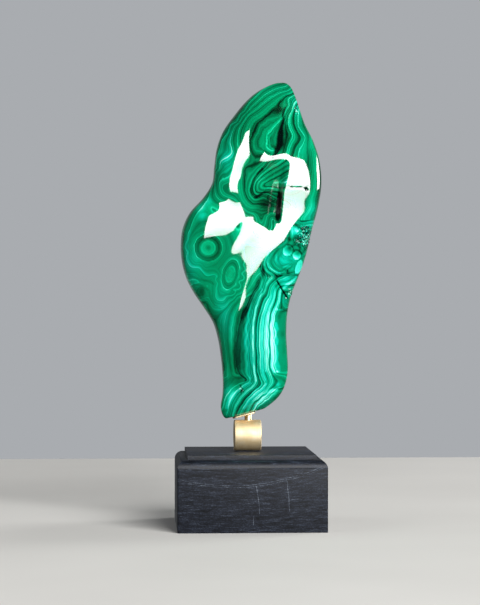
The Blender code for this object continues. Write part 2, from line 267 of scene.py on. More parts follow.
# How the stone is banded, drawn as seen from the front. Each line is a level and its points, x and z
# in millimetres. A level that ends in 0 is a thin pale line, and one that ends in 5 is a dark band.
banding = {
    "upper": [
        (-5, [(-5, 292), (-13.5, 282), (-20.5, 271), (-24, 258), (-25, 248)]),
        (0, [(14, 307.5), (4, 299), (-3, 290), (-9, 282), (-14.5, 275), (-19.5, 267), (-22, 258),
            (-23, 249), (-25, 240), (-27.5, 231), (-30.5, 225), (-35.5, 219), (-38.8, 213), (-41, 207),
            (-42.6, 200), (-43, 191), (-42.4, 183), (-40, 180.3), (-34.5, 179.6), (-32.2, 176.7),
            (-28.9, 174), (-22.5, 173.5), (-22.3, 169.5), (-23, 164), (-23.2, 160), (-22, 157.4),
            (-19.9, 156.6), (-17.1, 157.4), (-14.5, 160), (-10.5, 164), (-6.6, 169.8), (-4.5, 175.3),
            (-3.1, 181), (-2.4, 186), (-3, 192), (-5.5, 199), (-7.5, 207), (-12, 214.5), (-19, 219.5),
            (-25.5, 222)]),
        (10, [(20, 305.5), (10, 300), (2, 292.5), (-4, 286), (-9, 279.5), (-12, 273), (-13, 268),
            (-11.6, 261), (-15, 257), (-20, 253), (-22.4, 247), (-23.8, 240), (-23.6, 234), (-22.3, 229.5),
            (-18.5, 226.5), (-13.3, 225), (-9.4, 223), (-6.2, 219.8), (-3, 217.3), (0.4, 215.5), (1.8, 211),
            (2.6, 206.5), (4.2, 202.8), (7, 200.8), (11, 201.6), (14.4, 205), (16, 209.5), (17, 214)]),
        (20, [(27, 304), (18, 300.5), (10, 295), (4, 290), (0, 287), (-4, 281.5), (-7, 276), (-8, 270),
            (-7.6, 264), (-8.5, 257), (-10.5, 250), (-13, 244.5), (-16.6, 242.1), (-19.3, 241),
            (-20.4, 238), (-20.2, 234.7), (-18.8, 231.5), (-15.9, 229.5), (-12.7, 228.6), (-9.4, 227),
            (-6.9, 224.4), (-3.6, 221.1), (-0.4, 218.6), (3.4, 217.2), (5.2, 214.5), (5.8, 211), (7.4, 208),
            (9.8, 207.8), (11.6, 210), (12.4, 213.5)]),
        (30, [(-6.6, 239), (-6.5, 235.4), (-5.9, 231.5), (-4.6, 227.6), (-1.7, 223.7), (2.2, 221.8),
            (6.1, 222.1)]),
        (35, [(31.5, 302.3), (27, 300.5), (21.6, 295.5), (16.4, 289.5), (10, 283.9), (5.4, 278.7),
            (2.8, 273.5), (1.2, 268), (1.6, 263), (3.5, 259.3), (6.7, 257.7), (9.8, 257.3), (9, 254.8),
            (5.4, 252.5), (0.9, 251.4), (-2.6, 248.5), (-3, 243), (-3.3, 238.6), (-3, 234), (-1.7, 230.2),
            (0.9, 226.5), (4.8, 224.4), (9, 224.5), (14, 223.5)]),
        (40, [(28.5, 293.5), (25.5, 288), (23.6, 284.5), (20.3, 280.6), (16.4, 276.8), (13.8, 272.9),
            (12.5, 268.3), (12.9, 264.5), (15.1, 262.2), (17.7, 261.2), (17.6, 259.5), (15.2, 257.2),
            (12.2, 253.9), (8.9, 250.1), (5.1, 245.6), (2.2, 241.4), (0.9, 237.3), (0.6, 232.1),
            (2.2, 228.9), (4.1, 227.6), (6.7, 227.8), (9.5, 228.8)]),
        (45, [(26.5, 287.5), (24.2, 282), (22.6, 276), (21.6, 270), (21.8, 264), (19.6, 259.6), (16.6, 257),
            (13.6, 253), (10, 248.6), (6.7, 245), (4.1, 241.4), (2.6, 237.3), (2.2, 232.8), (3.5, 230.3),
            (6.7, 229.7), (10.5, 230.8)]),
        (50, [(31, 293), (29, 287), (28, 282.6), (28.4, 278.7), (30.7, 273.5), (30, 269.6), (27.7, 264.5),
            (26.4, 259.5), (23, 255), (19.5, 252.3), (15.1, 249.8), (10.6, 246.4), (7.2, 243.1),
            (4.8, 240.3), (3.6, 237), (3.6, 233.5), (4.6, 231.6), (7.5, 231.4)]),
        (60, [(35, 289), (34.7, 284), (35.2, 278.7), (37.6, 274.8), (39.6, 271), (38.2, 267), (35.8, 263.2),
            (35, 259), (30, 254), (24, 251.3), (18, 247.8), (13, 244.6), (9.6, 242), (6.8, 239), (6.2, 236),
            (7.2, 233.6), (9.5, 233.2)]),
        (70, [(43.5, 270), (46, 261), (46.5, 250), (45.5, 240), (43.5, 229), (41, 219)]),
        (70, [(28, 250), (22, 246.4), (16.5, 243.2), (12.5, 240.6), (9.2, 238.6), (8.4, 236.6), (10, 235.4),
            (14, 235.8)]),
        (80, [(30, 244), (24, 242), (18, 239.8), (13.5, 238.2)]),
        (65, [(36, 250), (39.5, 240), (40.5, 230), (38, 221), (33, 214)]),
        (75, [(48.8, 262), (50.3, 250), (50.4, 236), (48, 223)]),
        (-5, [(-45.4, 204), (-46.4, 195), (-46.2, 185), (-44.2, 177.5), (-38, 176.8), (-35, 174.5),
            (-31, 171), (-26, 170.5), (-25.2, 165), (-25.4, 159.5), (-23.6, 155.8), (-20, 154.6),
            (-16.2, 155.7), (-12.8, 159), (-8.6, 162.3), (-4.6, 168), (-2, 174), (-0.6, 181)]),
        (-10, [(-40, 171.5), (-36, 171), (-32.5, 168.6), (-29, 167.4), (-27.6, 163), (-27.4, 158),
            (-24.6, 153.6), (-20.5, 152.2), (-15.8, 153.6), (-11.2, 157.6), (-6.2, 161.6), (-2.4, 167)]),
        (-5, [(-35.2, 164.6), (-33.4, 166), (-31.6, 164.6), (-31.4, 161.8), (-33, 160.4)]),
        (-15, [(-31, 155.5), (-27.6, 150), (-24.6, 145), (-22.4, 138), (-20.6, 128), (-18.8, 116)]),
        (-20, [(-7.6, 158.8), (-11.4, 154.6), (-14.6, 149.6), (-16.3, 144), (-17, 136), (-16.8, 128),
            (-15.6, 120), (-14.6, 112), (-14.6, 104)]),
        (-30, [(-5.4, 156), (-9, 151), (-11.6, 145), (-12.8, 137), (-13, 129), (-12.4, 121), (-11.8, 113)]),
        (-35, [(-2, 158), (-5.6, 149), (-7.4, 142), (-8.6, 134), (-9.2, 126), (-9.6, 118), (-9.4, 111.5),
            (-8, 106)]),
        (-25, [(-16.4, 98), (-13, 101.5), (-9, 103), (-5, 102.5)]),
        (-20, [(-17.5, 84), (-15.8, 90), (-12, 95), (-7, 98.5), (-3.5, 99.5)]),
    ],
    "lower": [
        (35, [(7.6, 169.6), (3.1, 162.8), (0.3, 157.2), (-2.6, 151), (-5.2, 146), (-7, 138), (-8.3, 129),
            (-9.1, 120), (-8.4, 111), (-6, 105), (-1.6, 101)]),
        (40, [(7.5, 165), (4.5, 160), (1.2, 151.6), (0, 143.2), (-1, 132.8), (-1.2, 122.3), (-1, 111.8),
            (-0.2, 104), (1, 100.6), (-1.6, 98.8), (-5.6, 96), (-10, 91.8), (-13, 87), (-14.4, 80)]),
        (50, [(15, 172.6), (12.2, 168.4), (8, 160), (4.5, 151.6), (3.1, 143.2), (2.5, 136), (2.5, 127),
            (3, 118), (3.2, 109), (4.6, 101), (3, 98), (-1.6, 94), (-6, 89.2), (-9.6, 83), (-11, 78)]),
        (55, [(16, 169.5), (11.6, 160), (7.6, 151), (5.6, 142), (5, 133), (5, 124), (5.6, 115), (5.6, 107),
            (7.6, 100), (6, 96.4), (1, 91.8), (-4, 86.6), (-7.4, 80.6)]),
        (60, [(18.2, 168.6), (15, 160), (10.8, 150.2), (8.7, 141.8), (8, 133.5), (7.7, 125.1), (8.4, 116.7),
            (8.2, 108.4), (10.4, 101.4), (11.6, 98.4), (8, 94.4), (2.4, 89.5), (-1.7, 84.6), (-4.8, 79.6)]),
        (70, [(20.2, 166), (17.4, 156.4), (14.4, 148.6), (13.4, 141), (13.3, 132), (13.4, 122), (13, 112),
            (15, 105), (16, 100.5), (14, 96.6), (9.4, 91.8), (4, 87.6), (0.4, 82.6), (-1, 79)]),
        (75, [(21.2, 165.6), (18.8, 156), (15.6, 147.8), (14.7, 140), (14.9, 130), (15.4, 121), (14.8, 112),
            (16.8, 104.8), (19.4, 100.4), (17.4, 96.4), (12.2, 91), (6.4, 86.6), (2.2, 81.6)]),
        (80, [(22.4, 164.6), (20.8, 158), (19.6, 152.6), (17.2, 147), (16.3, 139.8), (16.6, 129.3),
            (17.4, 120.9), (16.9, 111.8), (18.6, 106.3), (22, 104.6), (25, 104)]),
        (80, [(24, 96.8), (19.2, 95.1), (15, 91.6), (10.8, 88.1), (6.6, 84.6), (3.4, 80)]),
        (83, [(26, 147), (23.6, 140), (23.6, 130), (24, 120), (24, 112), (25, 108)]),
        (83, [(20, 89), (13, 84), (7, 80.5)]),
        (45, [(22, 201.5), (15.5, 195), (10.6, 188), (8.6, 182), (9, 177.5), (11.6, 174.6)]),
        (50, [(24.2, 201), (17.6, 194.6), (12.8, 188.6), (10.9, 184), (10.8, 180.6), (13, 176.6),
            (16.4, 174.8)]),
        (55, [(25.4, 200), (18.9, 194), (14.3, 188.6), (12.4, 184.6), (12.8, 181), (15.4, 177.4),
            (18.6, 175.4), (22.5, 174.6), (27.5, 179), (31.5, 182.6), (38, 187)]),
        (60, [(26.6, 199), (20, 193.6), (15.6, 188.6), (13.8, 185), (14.2, 181.8), (16.8, 178.2),
            (20.2, 176), (23.2, 176.4)]),
        (65, [(28, 198), (21.6, 193), (17.3, 188.4), (15.6, 185), (16.2, 182.2), (18.8, 178.9), (22, 177.2),
            (24.6, 178.4)]),
        (70, [(29, 196.4), (23.2, 192), (19.2, 188), (18, 185), (18.8, 182.6), (21, 180.2), (24.2, 179.4),
            (27.6, 181.6)]),
        (80, [(30, 192), (26, 189), (24, 186), (25, 184), (28, 184), (32, 186)]),
        (60, [(22.6, 171.6), (26, 173), (30, 174.6), (36, 178)]),
        (65, [(22.6, 169.6), (27, 170.6), (32, 172.8)]),
        (75, [(32, 200), (34, 196), (36, 193)]),
        (70, [(31, 209), (34, 206), (38, 204)]),
        (60, [(30, 211.5), (36, 210), (44, 210)]),
    ],
    # Outline of the part that the lower lines belong to
    "fault": [(-14, 60), (-16, 80), (-14.4, 87.4), (-10.4, 92.4), (-5.8, 97.2), (-2.6, 100.6),
              (-6.6, 105), (-8.8, 111), (-9.4, 119), (-8.6, 129), (-7.2, 138), (-5.3, 146),
              (-2.6, 151.4), (0.3, 157.6), (3.1, 163.2), (7, 170), (8.4, 176), (8.2, 182), (10, 188.4),
              (15, 195.8), (22, 203), (27.5, 210), (34, 213), (60, 214), (90, 140), (60, 40)],
    # Round eyes: x, z, half width, half height, lean, levels from the rim to the heart
    "eyes": [
        (-28.2, 193.8, 9.8, 9.6, 0, [(1.0, 10), (0.86, 13.5), (0.62, 16), (0.48, 18), (0.15, 17.2)]),
        (-12.8, 175.2, 5.6, 11.0, -14, [(1.0, 10), (0.8, 14), (0.6, 17), (0.25, 17.6)]),
        (-28.2, 193.8, 14.0, 14.0, 0, [(1.0, 7)]),
        (-12.8, 175.2, 8.6, 14.2, -14, [(1.0, 7)]),
    ],
    "eyePoints": 14,
    # Tone of an eye from its heart (0) to its rim (1): a bright core in a dark ring
    "eyeTones": [
        (27.5, 191.8, 3.4, 3.9, -20, [(0, -0.02), (0.5, 0.04), (0.75, 0.14), (0.95, 0.26), (1.06, -0.14),
            (1.2, -0.1), (1.3, 0)]),
        (33.8, 188.6, 3.0, 3.0, 0, [(0, 0.06), (0.5, 0.1), (0.8, 0.2), (0.95, 0.28), (1.06, -0.14),
            (1.25, -0.1), (1.35, 0)]),
        (35.2, 180.4, 2.2, 5.2, -20, [(0, 0.12), (0.5, 0.18), (0.8, 0.26), (0.95, 0.3), (1.08, -0.14),
            (1.35, 0)]),
        (16.8, 228.4, 3.6, 3.6, 0, [(0, -0.1), (0.3, 0.06), (0.42, -0.12), (0.66, -0.12), (0.76, 0.08),
            (0.88, -0.12), (1.0, -0.12), (1.25, 0)]),
        (-28.4, 193.7, 9.8, 9.8, 0, [(0, 0.03), (0.3, 0.09), (0.45, 0.11), (0.52, 0.2), (0.58, -0.04),
            (0.75, -0.14), (0.95, -0.15), (1.0, 0.1), (1.05, 0.0)]),
        (-12.8, 175.2, 6.2, 11.4, -14, [(0, 0.12), (0.22, 0.08), (0.3, -0.02), (0.44, 0.02), (0.5, 0.16),
            (0.58, -0.04), (0.92, -0.08), (1.0, 0.13), (1.08, 0.0)]),
    ],
    "strength": (0.62, 0.16, 0.26),  # of the broad bands, stripes and pale lines
    "turquoise": 0.08,  # share of it in the green
    "lowerTurquoise": 0.25,  # more of it in the lower part
    # The pattern changes so many millimetres deep behind the middle of the stone
    "backReach": 20,
    "driftX": 13,  # there it has drifted by this
    "driftZ": -17,
    "fadeAtBack": 0.75,  # and what is drawn on the front is fainter by this share
    # Its own eyes, which don't drift: x, z, half width, half height, turn, change of the upper levels and of
    # the lower ones
    "backEyes": [(26, 224, 13, 15.6, 15, 34, 34), (-20, 206, 15, 18, 15, 30, 30),
                 (8, 268, 12, 14.4, 15, -26, -26), (10, 130, 11, 13.2, 15, 24, 24)],
}

# Lighter and darker places: x, z, half width, half height, turn, lift of the tone, lift towards turquoise
tints = [
    (33.5, 292, 2.2, 7, 14, 0.1, 0.5),
    (26.6, 240.2, 3.4, 2.0, 10, 0.24, 0.8),
    (13, 224, 7, 6, 0, -0.36, -0.5),
    (10, 232, 9, 8, 0, -0.06, -0.1),
    (20, 243, 7, 7, 0, -0.08, -0.1),
    (27, 270, 6, 12, 0, -0.1, 0.0),
    (6, 270, 7, 14, -10, -0.1, -0.1),
    (18, 290, 5, 12, -45, -0.08, -0.1),
    (8, 240, 5, 6, 40, 0.1, 0.1),
    (40, 264, 4, 8, -20, 0.14, 0.1),
    (-33.6, 222, 4.2, 3, 40, 0.2, 0.5),
    (-32.4, 215.4, 3, 2.6, 40, 0.2, 0.6),
    (-28, 226.6, 3, 2.4, 30, 0.12, 0.4),
    (-22, 188, 18, 14, 0, -0.03, 0.0),
    (-33, 163.4, 2, 3, 0, -0.2, 0.0),
    (-17, 148, 6, 18, 12, 0.14, 0.5),
    (-39, 182, 9, 16, -10, 0.12, 0.45),
    (-31, 196, 11, 10, 0, -0.08, -0.1),
    (-14, 93, 5, 8, 20, 0.14, 0.5),
    (-15, 256, 5, 9, 0, 0.14, 0.6),
    (-1, 283, 8, 17, -30, -0.09, -0.18),
    (14.6, 130, 4.4, 34, 0, 0.24, 0.6),
    (7, 130, 5, 34, 0, 0.04, 0.5),
    (0, 130, 3.4, 30, 0, -0.02, 0.3),
    (-7, 122, 2.6, 14, 0, -0.08, 0.0),
    (8, 90, 8, 5, -40, 0.12, 0.4),
    (-10, 100.4, 6, 3.4, 20, -0.14, 0.0),
    (-12, 120, 4, 13, 8, -0.05, -0.1),
    (23.6, 133.4, 1.6, 2.4, 0, -0.1, -0.1),
    (24.8, 122.6, 1.4, 5, 0, -0.06, -0.2),
    (20.6, 98.4, 1.6, 1.8, 0, 0.16, 0.7),
    (24.6, 184.6, 6, 3.6, -16, 0.16, 0.7),
    (26.2, 190.2, 2.8, 3.0, -20, 0.24, 0.9),
    (29.0, 194.0, 2.4, 2.4, -20, -0.2, 0.0),
    (33.0, 187.0, 2.8, 2.2, 0, 0.28, 0.9),
    (34.8, 190.4, 2.4, 1.8, 0, -0.16, 0.0),
    (34.8, 179.4, 2.2, 4.4, -20, 0.16, 0.9),
    (33.4, 205.4, 2.2, 3.4, -8, 0.26, 0.8),
    (30.4, 206.4, 1.0, 3.4, 10, 0.14, 0.7),
    (34, 209.8, 2.6, 1.2, 0, -0.2, -0.3),
    (29, 199.8, 2.8, 1.4, -25, -0.3, -0.3),
    (39, 202, 5.4, 8, 10, -0.16, 0.4),
    (38.4, 193.6, 3.4, 3, 0, -0.12, -0.1),
    (26, 171, 5, 2.6, 18, 0.18, 0.8),
    (25.4, 156.6, 2.2, 4, 0, 0.06, 0.5),
    (46, 219, 4, 9, -15, 0.12, 0.5),
    (44, 240, 2, 14, 0, -0.06, -0.1),
]

# Single bands that stand out: lift of the tone, lift towards turquoise, points as x, z and half width
strokes = [
    # White mint, mint and dark stripes of the lower part, from right to left
    (0.2, 0.7, [(22.8, 164.6, 0.7), (20.9, 159, 1), (19.8, 153.5, 1.1), (18.6, 149.6, 1.2),
        (16.9, 146, 1.1), (16.2, 140, 1), (16.3, 132, 1.1), (16.9, 124, 1.1), (17.1, 116, 1.1),
        (16.9, 110.5, 1.1), (18.2, 107.3, 1), (20.2, 107, 0.7)]),
    (0.2, 0.6, [(19.8, 150.8, 0.6), (22.5, 150.4, 0.5), (24.6, 150.8, 0.4)]),
    (0.12, 0.6, [(18.9, 141, 0.9), (19.6, 137, 1.4), (18.9, 133, 0.8), (19.8, 129.5, 1.2), (19, 125, 0.7),
        (20, 120, 1.3), (19.2, 115, 0.8), (20.6, 110, 1.6), (21.4, 107.5, 1.2)]),
    (-0.1, 0.0, [(18.6, 160, 0.4), (16, 150, 0.45), (14.4, 142, 0.45), (14.2, 132, 0.45), (14.6, 122, 0.45),
        (14.4, 112, 0.4)]),
    (0.14, 0.6, [(18.4, 166, 1), (16.6, 159, 1.6), (13.6, 151, 1.8), (11.6, 142, 1.6), (11.2, 130, 1.6),
        (11, 118, 1.6), (11.4, 108, 1.4)]),
    (0.1, 0.6, [(13.4, 158, 0.6), (10.6, 150, 0.9), (9.2, 142, 1), (8.8, 134, 1), (8.4, 126, 0.9),
        (8.4, 118, 1), (8.6, 110, 1), (10, 104.6, 0.9), (11.6, 101.4, 0.6)]),
    (-0.07, 0.0, [(13, 166, 1.2), (8.8, 157, 1.2), (6.9, 149, 1), (6, 140, 0.9), (5.8, 130, 0.9),
        (6, 120, 0.9), (6, 110, 0.9), (7, 104, 0.8)]),
    (0.14, 0.5, [(9.5, 165, 0.5), (6, 156, 0.6), (4, 148, 0.6), (2.8, 140, 0.7), (2.4, 130, 0.7),
        (2.4, 120, 0.8), (3, 112, 0.8), (4.2, 105, 0.8), (5, 101, 0.8)]),
    (0.08, 0.4, [(2.2, 150, 0.5), (0.6, 143, 0.5), (0, 135, 0.6), (-0.2, 127, 0.8), (0, 118, 0.9),
        (0.2, 110, 0.9), (1.2, 103, 0.8)]),
    (0.04, 0.4, [(5, 163, 0.4), (1.6, 154, 0.6), (-1, 146, 0.8), (-2, 138, 0.9), (-2.4, 130, 0.8),
        (-2.6, 122, 0.6)]),
    (-0.09, 0.0, [(3, 158, 0.8), (-1, 150, 0.9), (-3.4, 142, 0.9), (-4.6, 134, 1), (-5, 126, 1.2),
        (-5.4, 118, 1.6), (-5.4, 110, 1.6)]),
    (-0.22, 0.0, [(11, 180, 1.0), (8.6, 172, 1.6), (4.6, 164, 1.8), (1, 156.6, 1.9), (-2, 150.6, 1.8),
        (-4.4, 145, 1.2)]),
    (-0.1, 0.0, [(-2, 150.6, 2.0), (-4.6, 144.6, 2.4), (-6.2, 138, 2.5), (-7.4, 131, 2.7), (-8.6, 124, 3.0),
        (-9.4, 116, 3.4), (-9.4, 108, 2.6)]),
    (-0.06, 0.0, [(-4.6, 144, 0.8), (-6.6, 135, 1.1), (-8, 126, 1.5), (-9, 117, 1.8), (-8.8, 110, 1)]),
    # Foot
    (0.22, 0.8, [(3.4, 80.4, 0.5), (6, 84.4, 0.7), (10, 88.6, 0.8), (14, 92.4, 0.9), (17.6, 94.6, 1.1),
        (20, 95, 0.6)]),
    (0.1, 0.6, [(-3, 82, 1.2), (1, 87.4, 1.7), (5.6, 91.6, 1.9), (10.5, 95, 1.6), (12.6, 98.5, 0.8)]),
    (-0.07, 0.0, [(-8.5, 80, 1), (-5, 85.5, 1.2), (-1, 90, 1.2), (2.4, 93.8, 0.9)]),
    (0.14, 0.4, [(-15.4, 82, 1.2), (-13.2, 87, 1.4), (-9.6, 91.8, 1.2), (-5, 96, 0.9), (1.5, 99.6, 0.8)]),
    (-0.18, 0.0, [(3, 79.6, 0.8), (9, 82.2, 1.4), (15, 86, 1.6), (20, 90, 1.6), (24, 95.6, 1.4)]),
    (-0.09, 0.0, [(18, 103.8, 0.8), (22, 102.6, 0.8), (25, 100, 1)]),
    # Shoulder
    (0.03, 0.3, [(-41.6, 205, 1.2), (-43, 197, 1.4), (-43, 190, 1.5), (-42.4, 183, 1.3),
        (-40.5, 180.6, 0.9), (-35, 180, 0.9), (-32.6, 177.4, 0.7), (-29, 174.6, 0.6), (-23, 174, 0.5)]),
    (-0.13, 0.0, [(-46.4, 203, 0.8), (-46.6, 193, 1), (-45.8, 183, 1.1), (-44.4, 178.6, 0.8)]),
    (-0.09, 0.0, [(-42, 174.6, 0.7), (-36, 172, 0.8), (-29, 170.4, 0.7), (-24.4, 169, 0.5)]),
    (-0.08, 0.0, [(-39, 168.6, 0.8), (-33, 167.4, 0.6), (-28, 164, 0.8), (-26.5, 157, 0.8), (-24, 153, 0.7),
        (-20, 151.6, 0.6)]),
    # Upper lobe: dark curved bands, black heart, pale hooks
    (-0.12, 0.0, [(32.4, 302, 1), (27, 300.6, 0.8), (22.6, 297.4, 0.7), (19.4, 293, 0.7), (16, 289.4, 0.7),
        (11.6, 285.6, 0.7)]),
    (-0.04, 0.0, [(11.6, 285.6, 0.9), (7.6, 281.6, 0.8), (4.8, 277.6, 0.8), (3, 273.4, 0.8),
        (2.2, 268, 0.8), (2.6, 263.4, 0.8), (5, 259.6, 0.8), (9, 257.8, 0.8)]),
    (-0.04, 0.0, [(8.8, 256.4, 0.7), (6.4, 253.4, 0.9), (2.6, 251.4, 0.8), (-1.4, 250, 0.8),
        (-3.2, 246.6, 0.8), (-3.2, 241, 0.7), (-3, 235, 0.7)]),
    (-0.12, 0.0, [(19, 262.4, 1), (17, 258.4, 1.2), (13.4, 254, 1.2), (9.8, 250, 1.2), (6.4, 246.2, 1)]),
    (-0.2, 0.0, [(9, 249, 0.9), (6.4, 246.2, 0.9), (4, 242.6, 0.8), (2.6, 238.6, 0.9), (2.2, 234.4, 1.1),
        (3, 231.2, 1), (5, 229.6, 0.7)]),
    (-0.3, 0.1, [(25.4, 292, 0.6), (24.8, 288, 0.8), (24.2, 284, 1), (23.6, 280, 1.4), (22.8, 275.6, 1.9),
        (22.2, 271, 2.3), (22, 266.6, 2.4), (21.2, 263, 2), (18.6, 260, 1.4), (16, 257, 0.8)]),
    (-0.3, 0.2, [(24.4, 283, 0.4), (23.4, 277, 0.8), (22.4, 271, 1.3), (22, 266.6, 1.5), (20.6, 262.6, 1)]),
    (-0.12, 0.0, [(26.6, 279, 0.8), (27, 273, 1.1), (25.8, 266, 1), (24.8, 261, 0.9)]),
    (-0.09, 0.0, [(17.2, 281, 0.5), (12.6, 276, 0.5), (11, 270, 0.6), (11, 265, 0.8), (12.4, 262, 0.8),
        (15.4, 260.4, 0.7)]),
    (-0.1, 0.0, [(21, 281, 0.5), (17.4, 276, 0.6), (15, 271.6, 0.6), (14.6, 267.4, 0.7), (16.4, 264.6, 1.2),
        (19, 264.4, 1)]),
    (0.09, 0.1, [(23, 286, 0.3), (20.8, 282.4, 0.35), (17.6, 279, 0.35), (14.6, 275.2, 0.35),
        (12.9, 271, 0.35), (12.3, 267, 0.4), (13.2, 264, 0.4), (15.6, 262.3, 0.35), (19, 261.6, 0.3)]),
    (0.08, 0.1, [(29.4, 289, 0.35), (28.6, 284, 0.35), (28.1, 280, 0.35), (29.6, 276, 0.35),
        (31, 272, 0.35), (30, 268, 0.35), (28.2, 263, 0.35), (27, 260, 0.35)]),
    (0.06, 0.2, [(34.6, 284, 0.4), (34.4, 279.6, 0.4), (36.6, 276.6, 0.4), (39.4, 273, 0.5),
        (38.6, 270, 0.6), (36.2, 265.6, 0.7), (35.4, 261, 0.7)]),
    (0.07, 0.1, [(23, 304.6, 0.35), (17, 301, 0.35), (11, 297, 0.35), (5, 292, 0.35), (-0.4, 286.6, 0.35),
        (-4.8, 280.8, 0.35), (-7.2, 275, 0.35), (-7.9, 269, 0.35), (-7, 264.6, 0.35)]),
    (0.05, 0.35, [(-12.4, 276, 0.8), (-13.4, 268, 1), (-11.8, 262, 0.9), (-12.6, 258, 1.4),
        (-16.6, 256, 1.8), (-19.6, 254, 1.2)]),
    (-0.09, 0.0, [(-2, 296, 0.6), (-6, 290, 0.8), (-10.4, 284, 0.6), (-15, 277, 0.6), (-19, 269.6, 0.6),
        (-20.8, 262, 0.5)]),
    (-0.34, 0.0, [(3.9, 228.4, 0.5), (6.4, 230.2, 0.7), (8.8, 231.9, 0.8), (11.6, 233.3, 0.9),
        (14, 233, 0.6), (18, 232.8, 0.4), (21, 233, 0.6)]),
    (0.1, 0.4, [(11, 235.6, 0.3), (14, 235.2, 0.3), (17.4, 235, 0.3), (20.6, 235.2, 0.3)]),
    (0.06, 0.2, [(17.9, 247, 0.3), (17.5, 241, 0.3), (17.8, 236, 0.3)]),
    # Kidneys and arcs by the druse
    (-0.12, 0.0, [(28.2, 195.4, 1.2), (30, 193.4, 1.6), (31.6, 191.6, 1.0)]),
    (-0.14, 0.0, [(33, 192.2, 1.0), (35.4, 191.4, 1.0), (37.4, 189.4, 0.8)]),
    (-0.07, 0.0, [(22.8, 191, 0.4), (23, 187.6, 0.4), (25.2, 185.8, 0.4), (28.4, 185.2, 0.4),
        (31, 184.4, 0.4)]),
    (-0.07, 0.0, [(20.6, 190, 0.4), (20.8, 186.2, 0.4), (23.4, 183.4, 0.4), (27.2, 182.2, 0.4),
        (30.6, 182.2, 0.4)]),
    (0.08, 0.2, [(19.2, 188.6, 0.4), (19.4, 185.2, 0.4), (22, 181.9, 0.4), (26.4, 180.6, 0.4),
        (29.6, 181, 0.4)]),
    (-0.13, 0.0, [(20, 193.5, 0.7), (17.6, 189, 0.7), (17, 185.4, 0.7), (19.4, 182, 0.7),
        (23.6, 179.4, 0.7), (28, 177.4, 0.8)]),
    (0.16, 0.5, [(22.6, 199.6, 0.5), (17.4, 193.6, 0.5), (13.4, 188.4, 0.6), (12.6, 184.6, 0.6),
        (14.4, 180.6, 0.6), (18, 177.6, 0.6), (21.8, 175.8, 0.6)]),
    (-0.18, 0.1, [(8.6, 183, 1), (9.6, 178, 1.2), (13, 175, 1.4), (18, 174.2, 1.2), (24, 175, 0.9),
        (30, 174.8, 0.8), (34.6, 174.6, 0.8)]),
    (0.24, 0.7, [(24.6, 165.8, 0.8), (27.4, 168, 1.0), (30.6, 170.6, 0.9), (34, 173.4, 0.6)]),
]

# How strong the bands are: x, z, half width, half height, turn, change for broad bands, stripes, pale lines
strengths = [
    (-28, 186, 22, 30, 0, -0.4, -0.04, -0.12),
    (-22, 140, 10, 30, 8, -0.15, 0.0, -0.1),
    (8, 240, 12, 12, 30, -0.14, 0.06, 0.08),
    (12, 268, 14, 14, 0, 0.06, 0.06, 0.04),
    (9, 128, 11, 40, 0, -0.14, 0.36, -0.1),
    (-7, 126, 3, 26, -8, -0.3, -0.2, -0.1),
    (4, 90, 9, 7, -40, 0.0, 0.26, 0.0),
    (23.4, 128, 4.2, 20, 0, -0.4, -0.3, -0.24),
    (26, 187, 7, 6.5, 0, -0.62, -0.04, -0.26),
    (27.5, 191.8, 4.6, 5, -20, -0.4, -0.3, -0.3),
    (33.8, 188.6, 4.2, 4.2, 0, -0.8, -0.3, -0.3),
    (35, 180.4, 3.6, 6.2, -20, -0.8, -0.3, -0.3),
    (15, 268, 5, 14, 10, 0.0, 0.0, -0.14),
    (13, 224, 7, 6, 0, -0.3, -0.06, -0.15),
    (30, 294, 6, 12, 0, 0.2, 0.1, 0.1),
]

# Painted shade: the colour in the openings is drawn near black, as the shade deep inside them, on top of
# their real depth
openingPaintedShade, crackShade = 0.9, 0.6  # how much darker they are
# Openings in the polish: x, z, half width, half height, turn, depth
openings = [
    (21.4, 223.0, 1.6, 9.3, -6, 8.0),
    (40.9, 234.6, 0.6, 0.8, 20, 0.8),
]
# Hairline cracks: half width, points
cracks = [
    (0.25, [(27.6, 236.9), (29.6, 236.1), (32, 235.7), (35.5, 236.2), (38.4, 235.6), (40.8, 234.9)]),
    (0.2, [(39.6, 235.2), (41, 236.8), (42.6, 237.2)]),
    (0.45, [(19.8, 170.6), (21.2, 168.6), (23.2, 165), (26.8, 159.2)]),
    (0.25, [(-6, 97.4), (-4, 94.6), (-5.6, 92.6)]),
]
# Places that the polishing wheel hardly reached: x, z, half width, half height, turn, added roughness
dullPlaces = [
    (21.6, 228, 2.0, 14, -13, 0.5), (16, 230, 5, 17, -14, 0.05), (17, 251, 4, 2.4, -8, 0.2),
]
# Rough patches of small crystals: x, z, half width, half height, turn
drusePatches = [
    (39.4, 201.6, 4.8, 8.0, 12), (34, 198, 3.0, 1.8, -30), (28.8, 162.6, 1.8, 3.0, 0),
    (33.4, 290.5, 0.9, 3.6, 16), (-5.0, 94.8, 1.2, 2.2, 30),
]


# Slow seeded waviness of the pattern: seed, size in millimetres, amount
wavers = {
    "driftX": (3, 60, 7), "driftZ": (4, 60, 9), "strokeX": (9, 9, 0.5), "strokeZ": (10, 9, 0.5),
    "tone": (6, 30, 0.05), "hue": (5, 45, 0.1), "druseEdge": (7, 2.5, 0.6), "druseFloor": (8, 1.6, 0.25),
}


def waves(points, name):
    seed, size, amount = wavers[name]
    draw = np.random.default_rng(seed)
    total = np.zeros(len(points))
    for _ in range(8):
        direction = draw.normal(size=3)
        direction *= 2 * math.pi / (size * draw.uniform(0.7, 1.6) * np.linalg.norm(direction))
        total += np.sin(points @ direction + draw.uniform(0, 2 * math.pi))
    return amount * total / 4


def drawnPlace(points):
    # Where each point falls on the drawing, an upright sheet through the object's middle
    eye = np.array(stone["drawnFrom"])
    share = eye[1] / (eye[1] - points[:, 1])
    return eye[0] + (points[:, 0] - eye[0]) * share, eye[2] + (points[:, 2] - eye[2]) * share


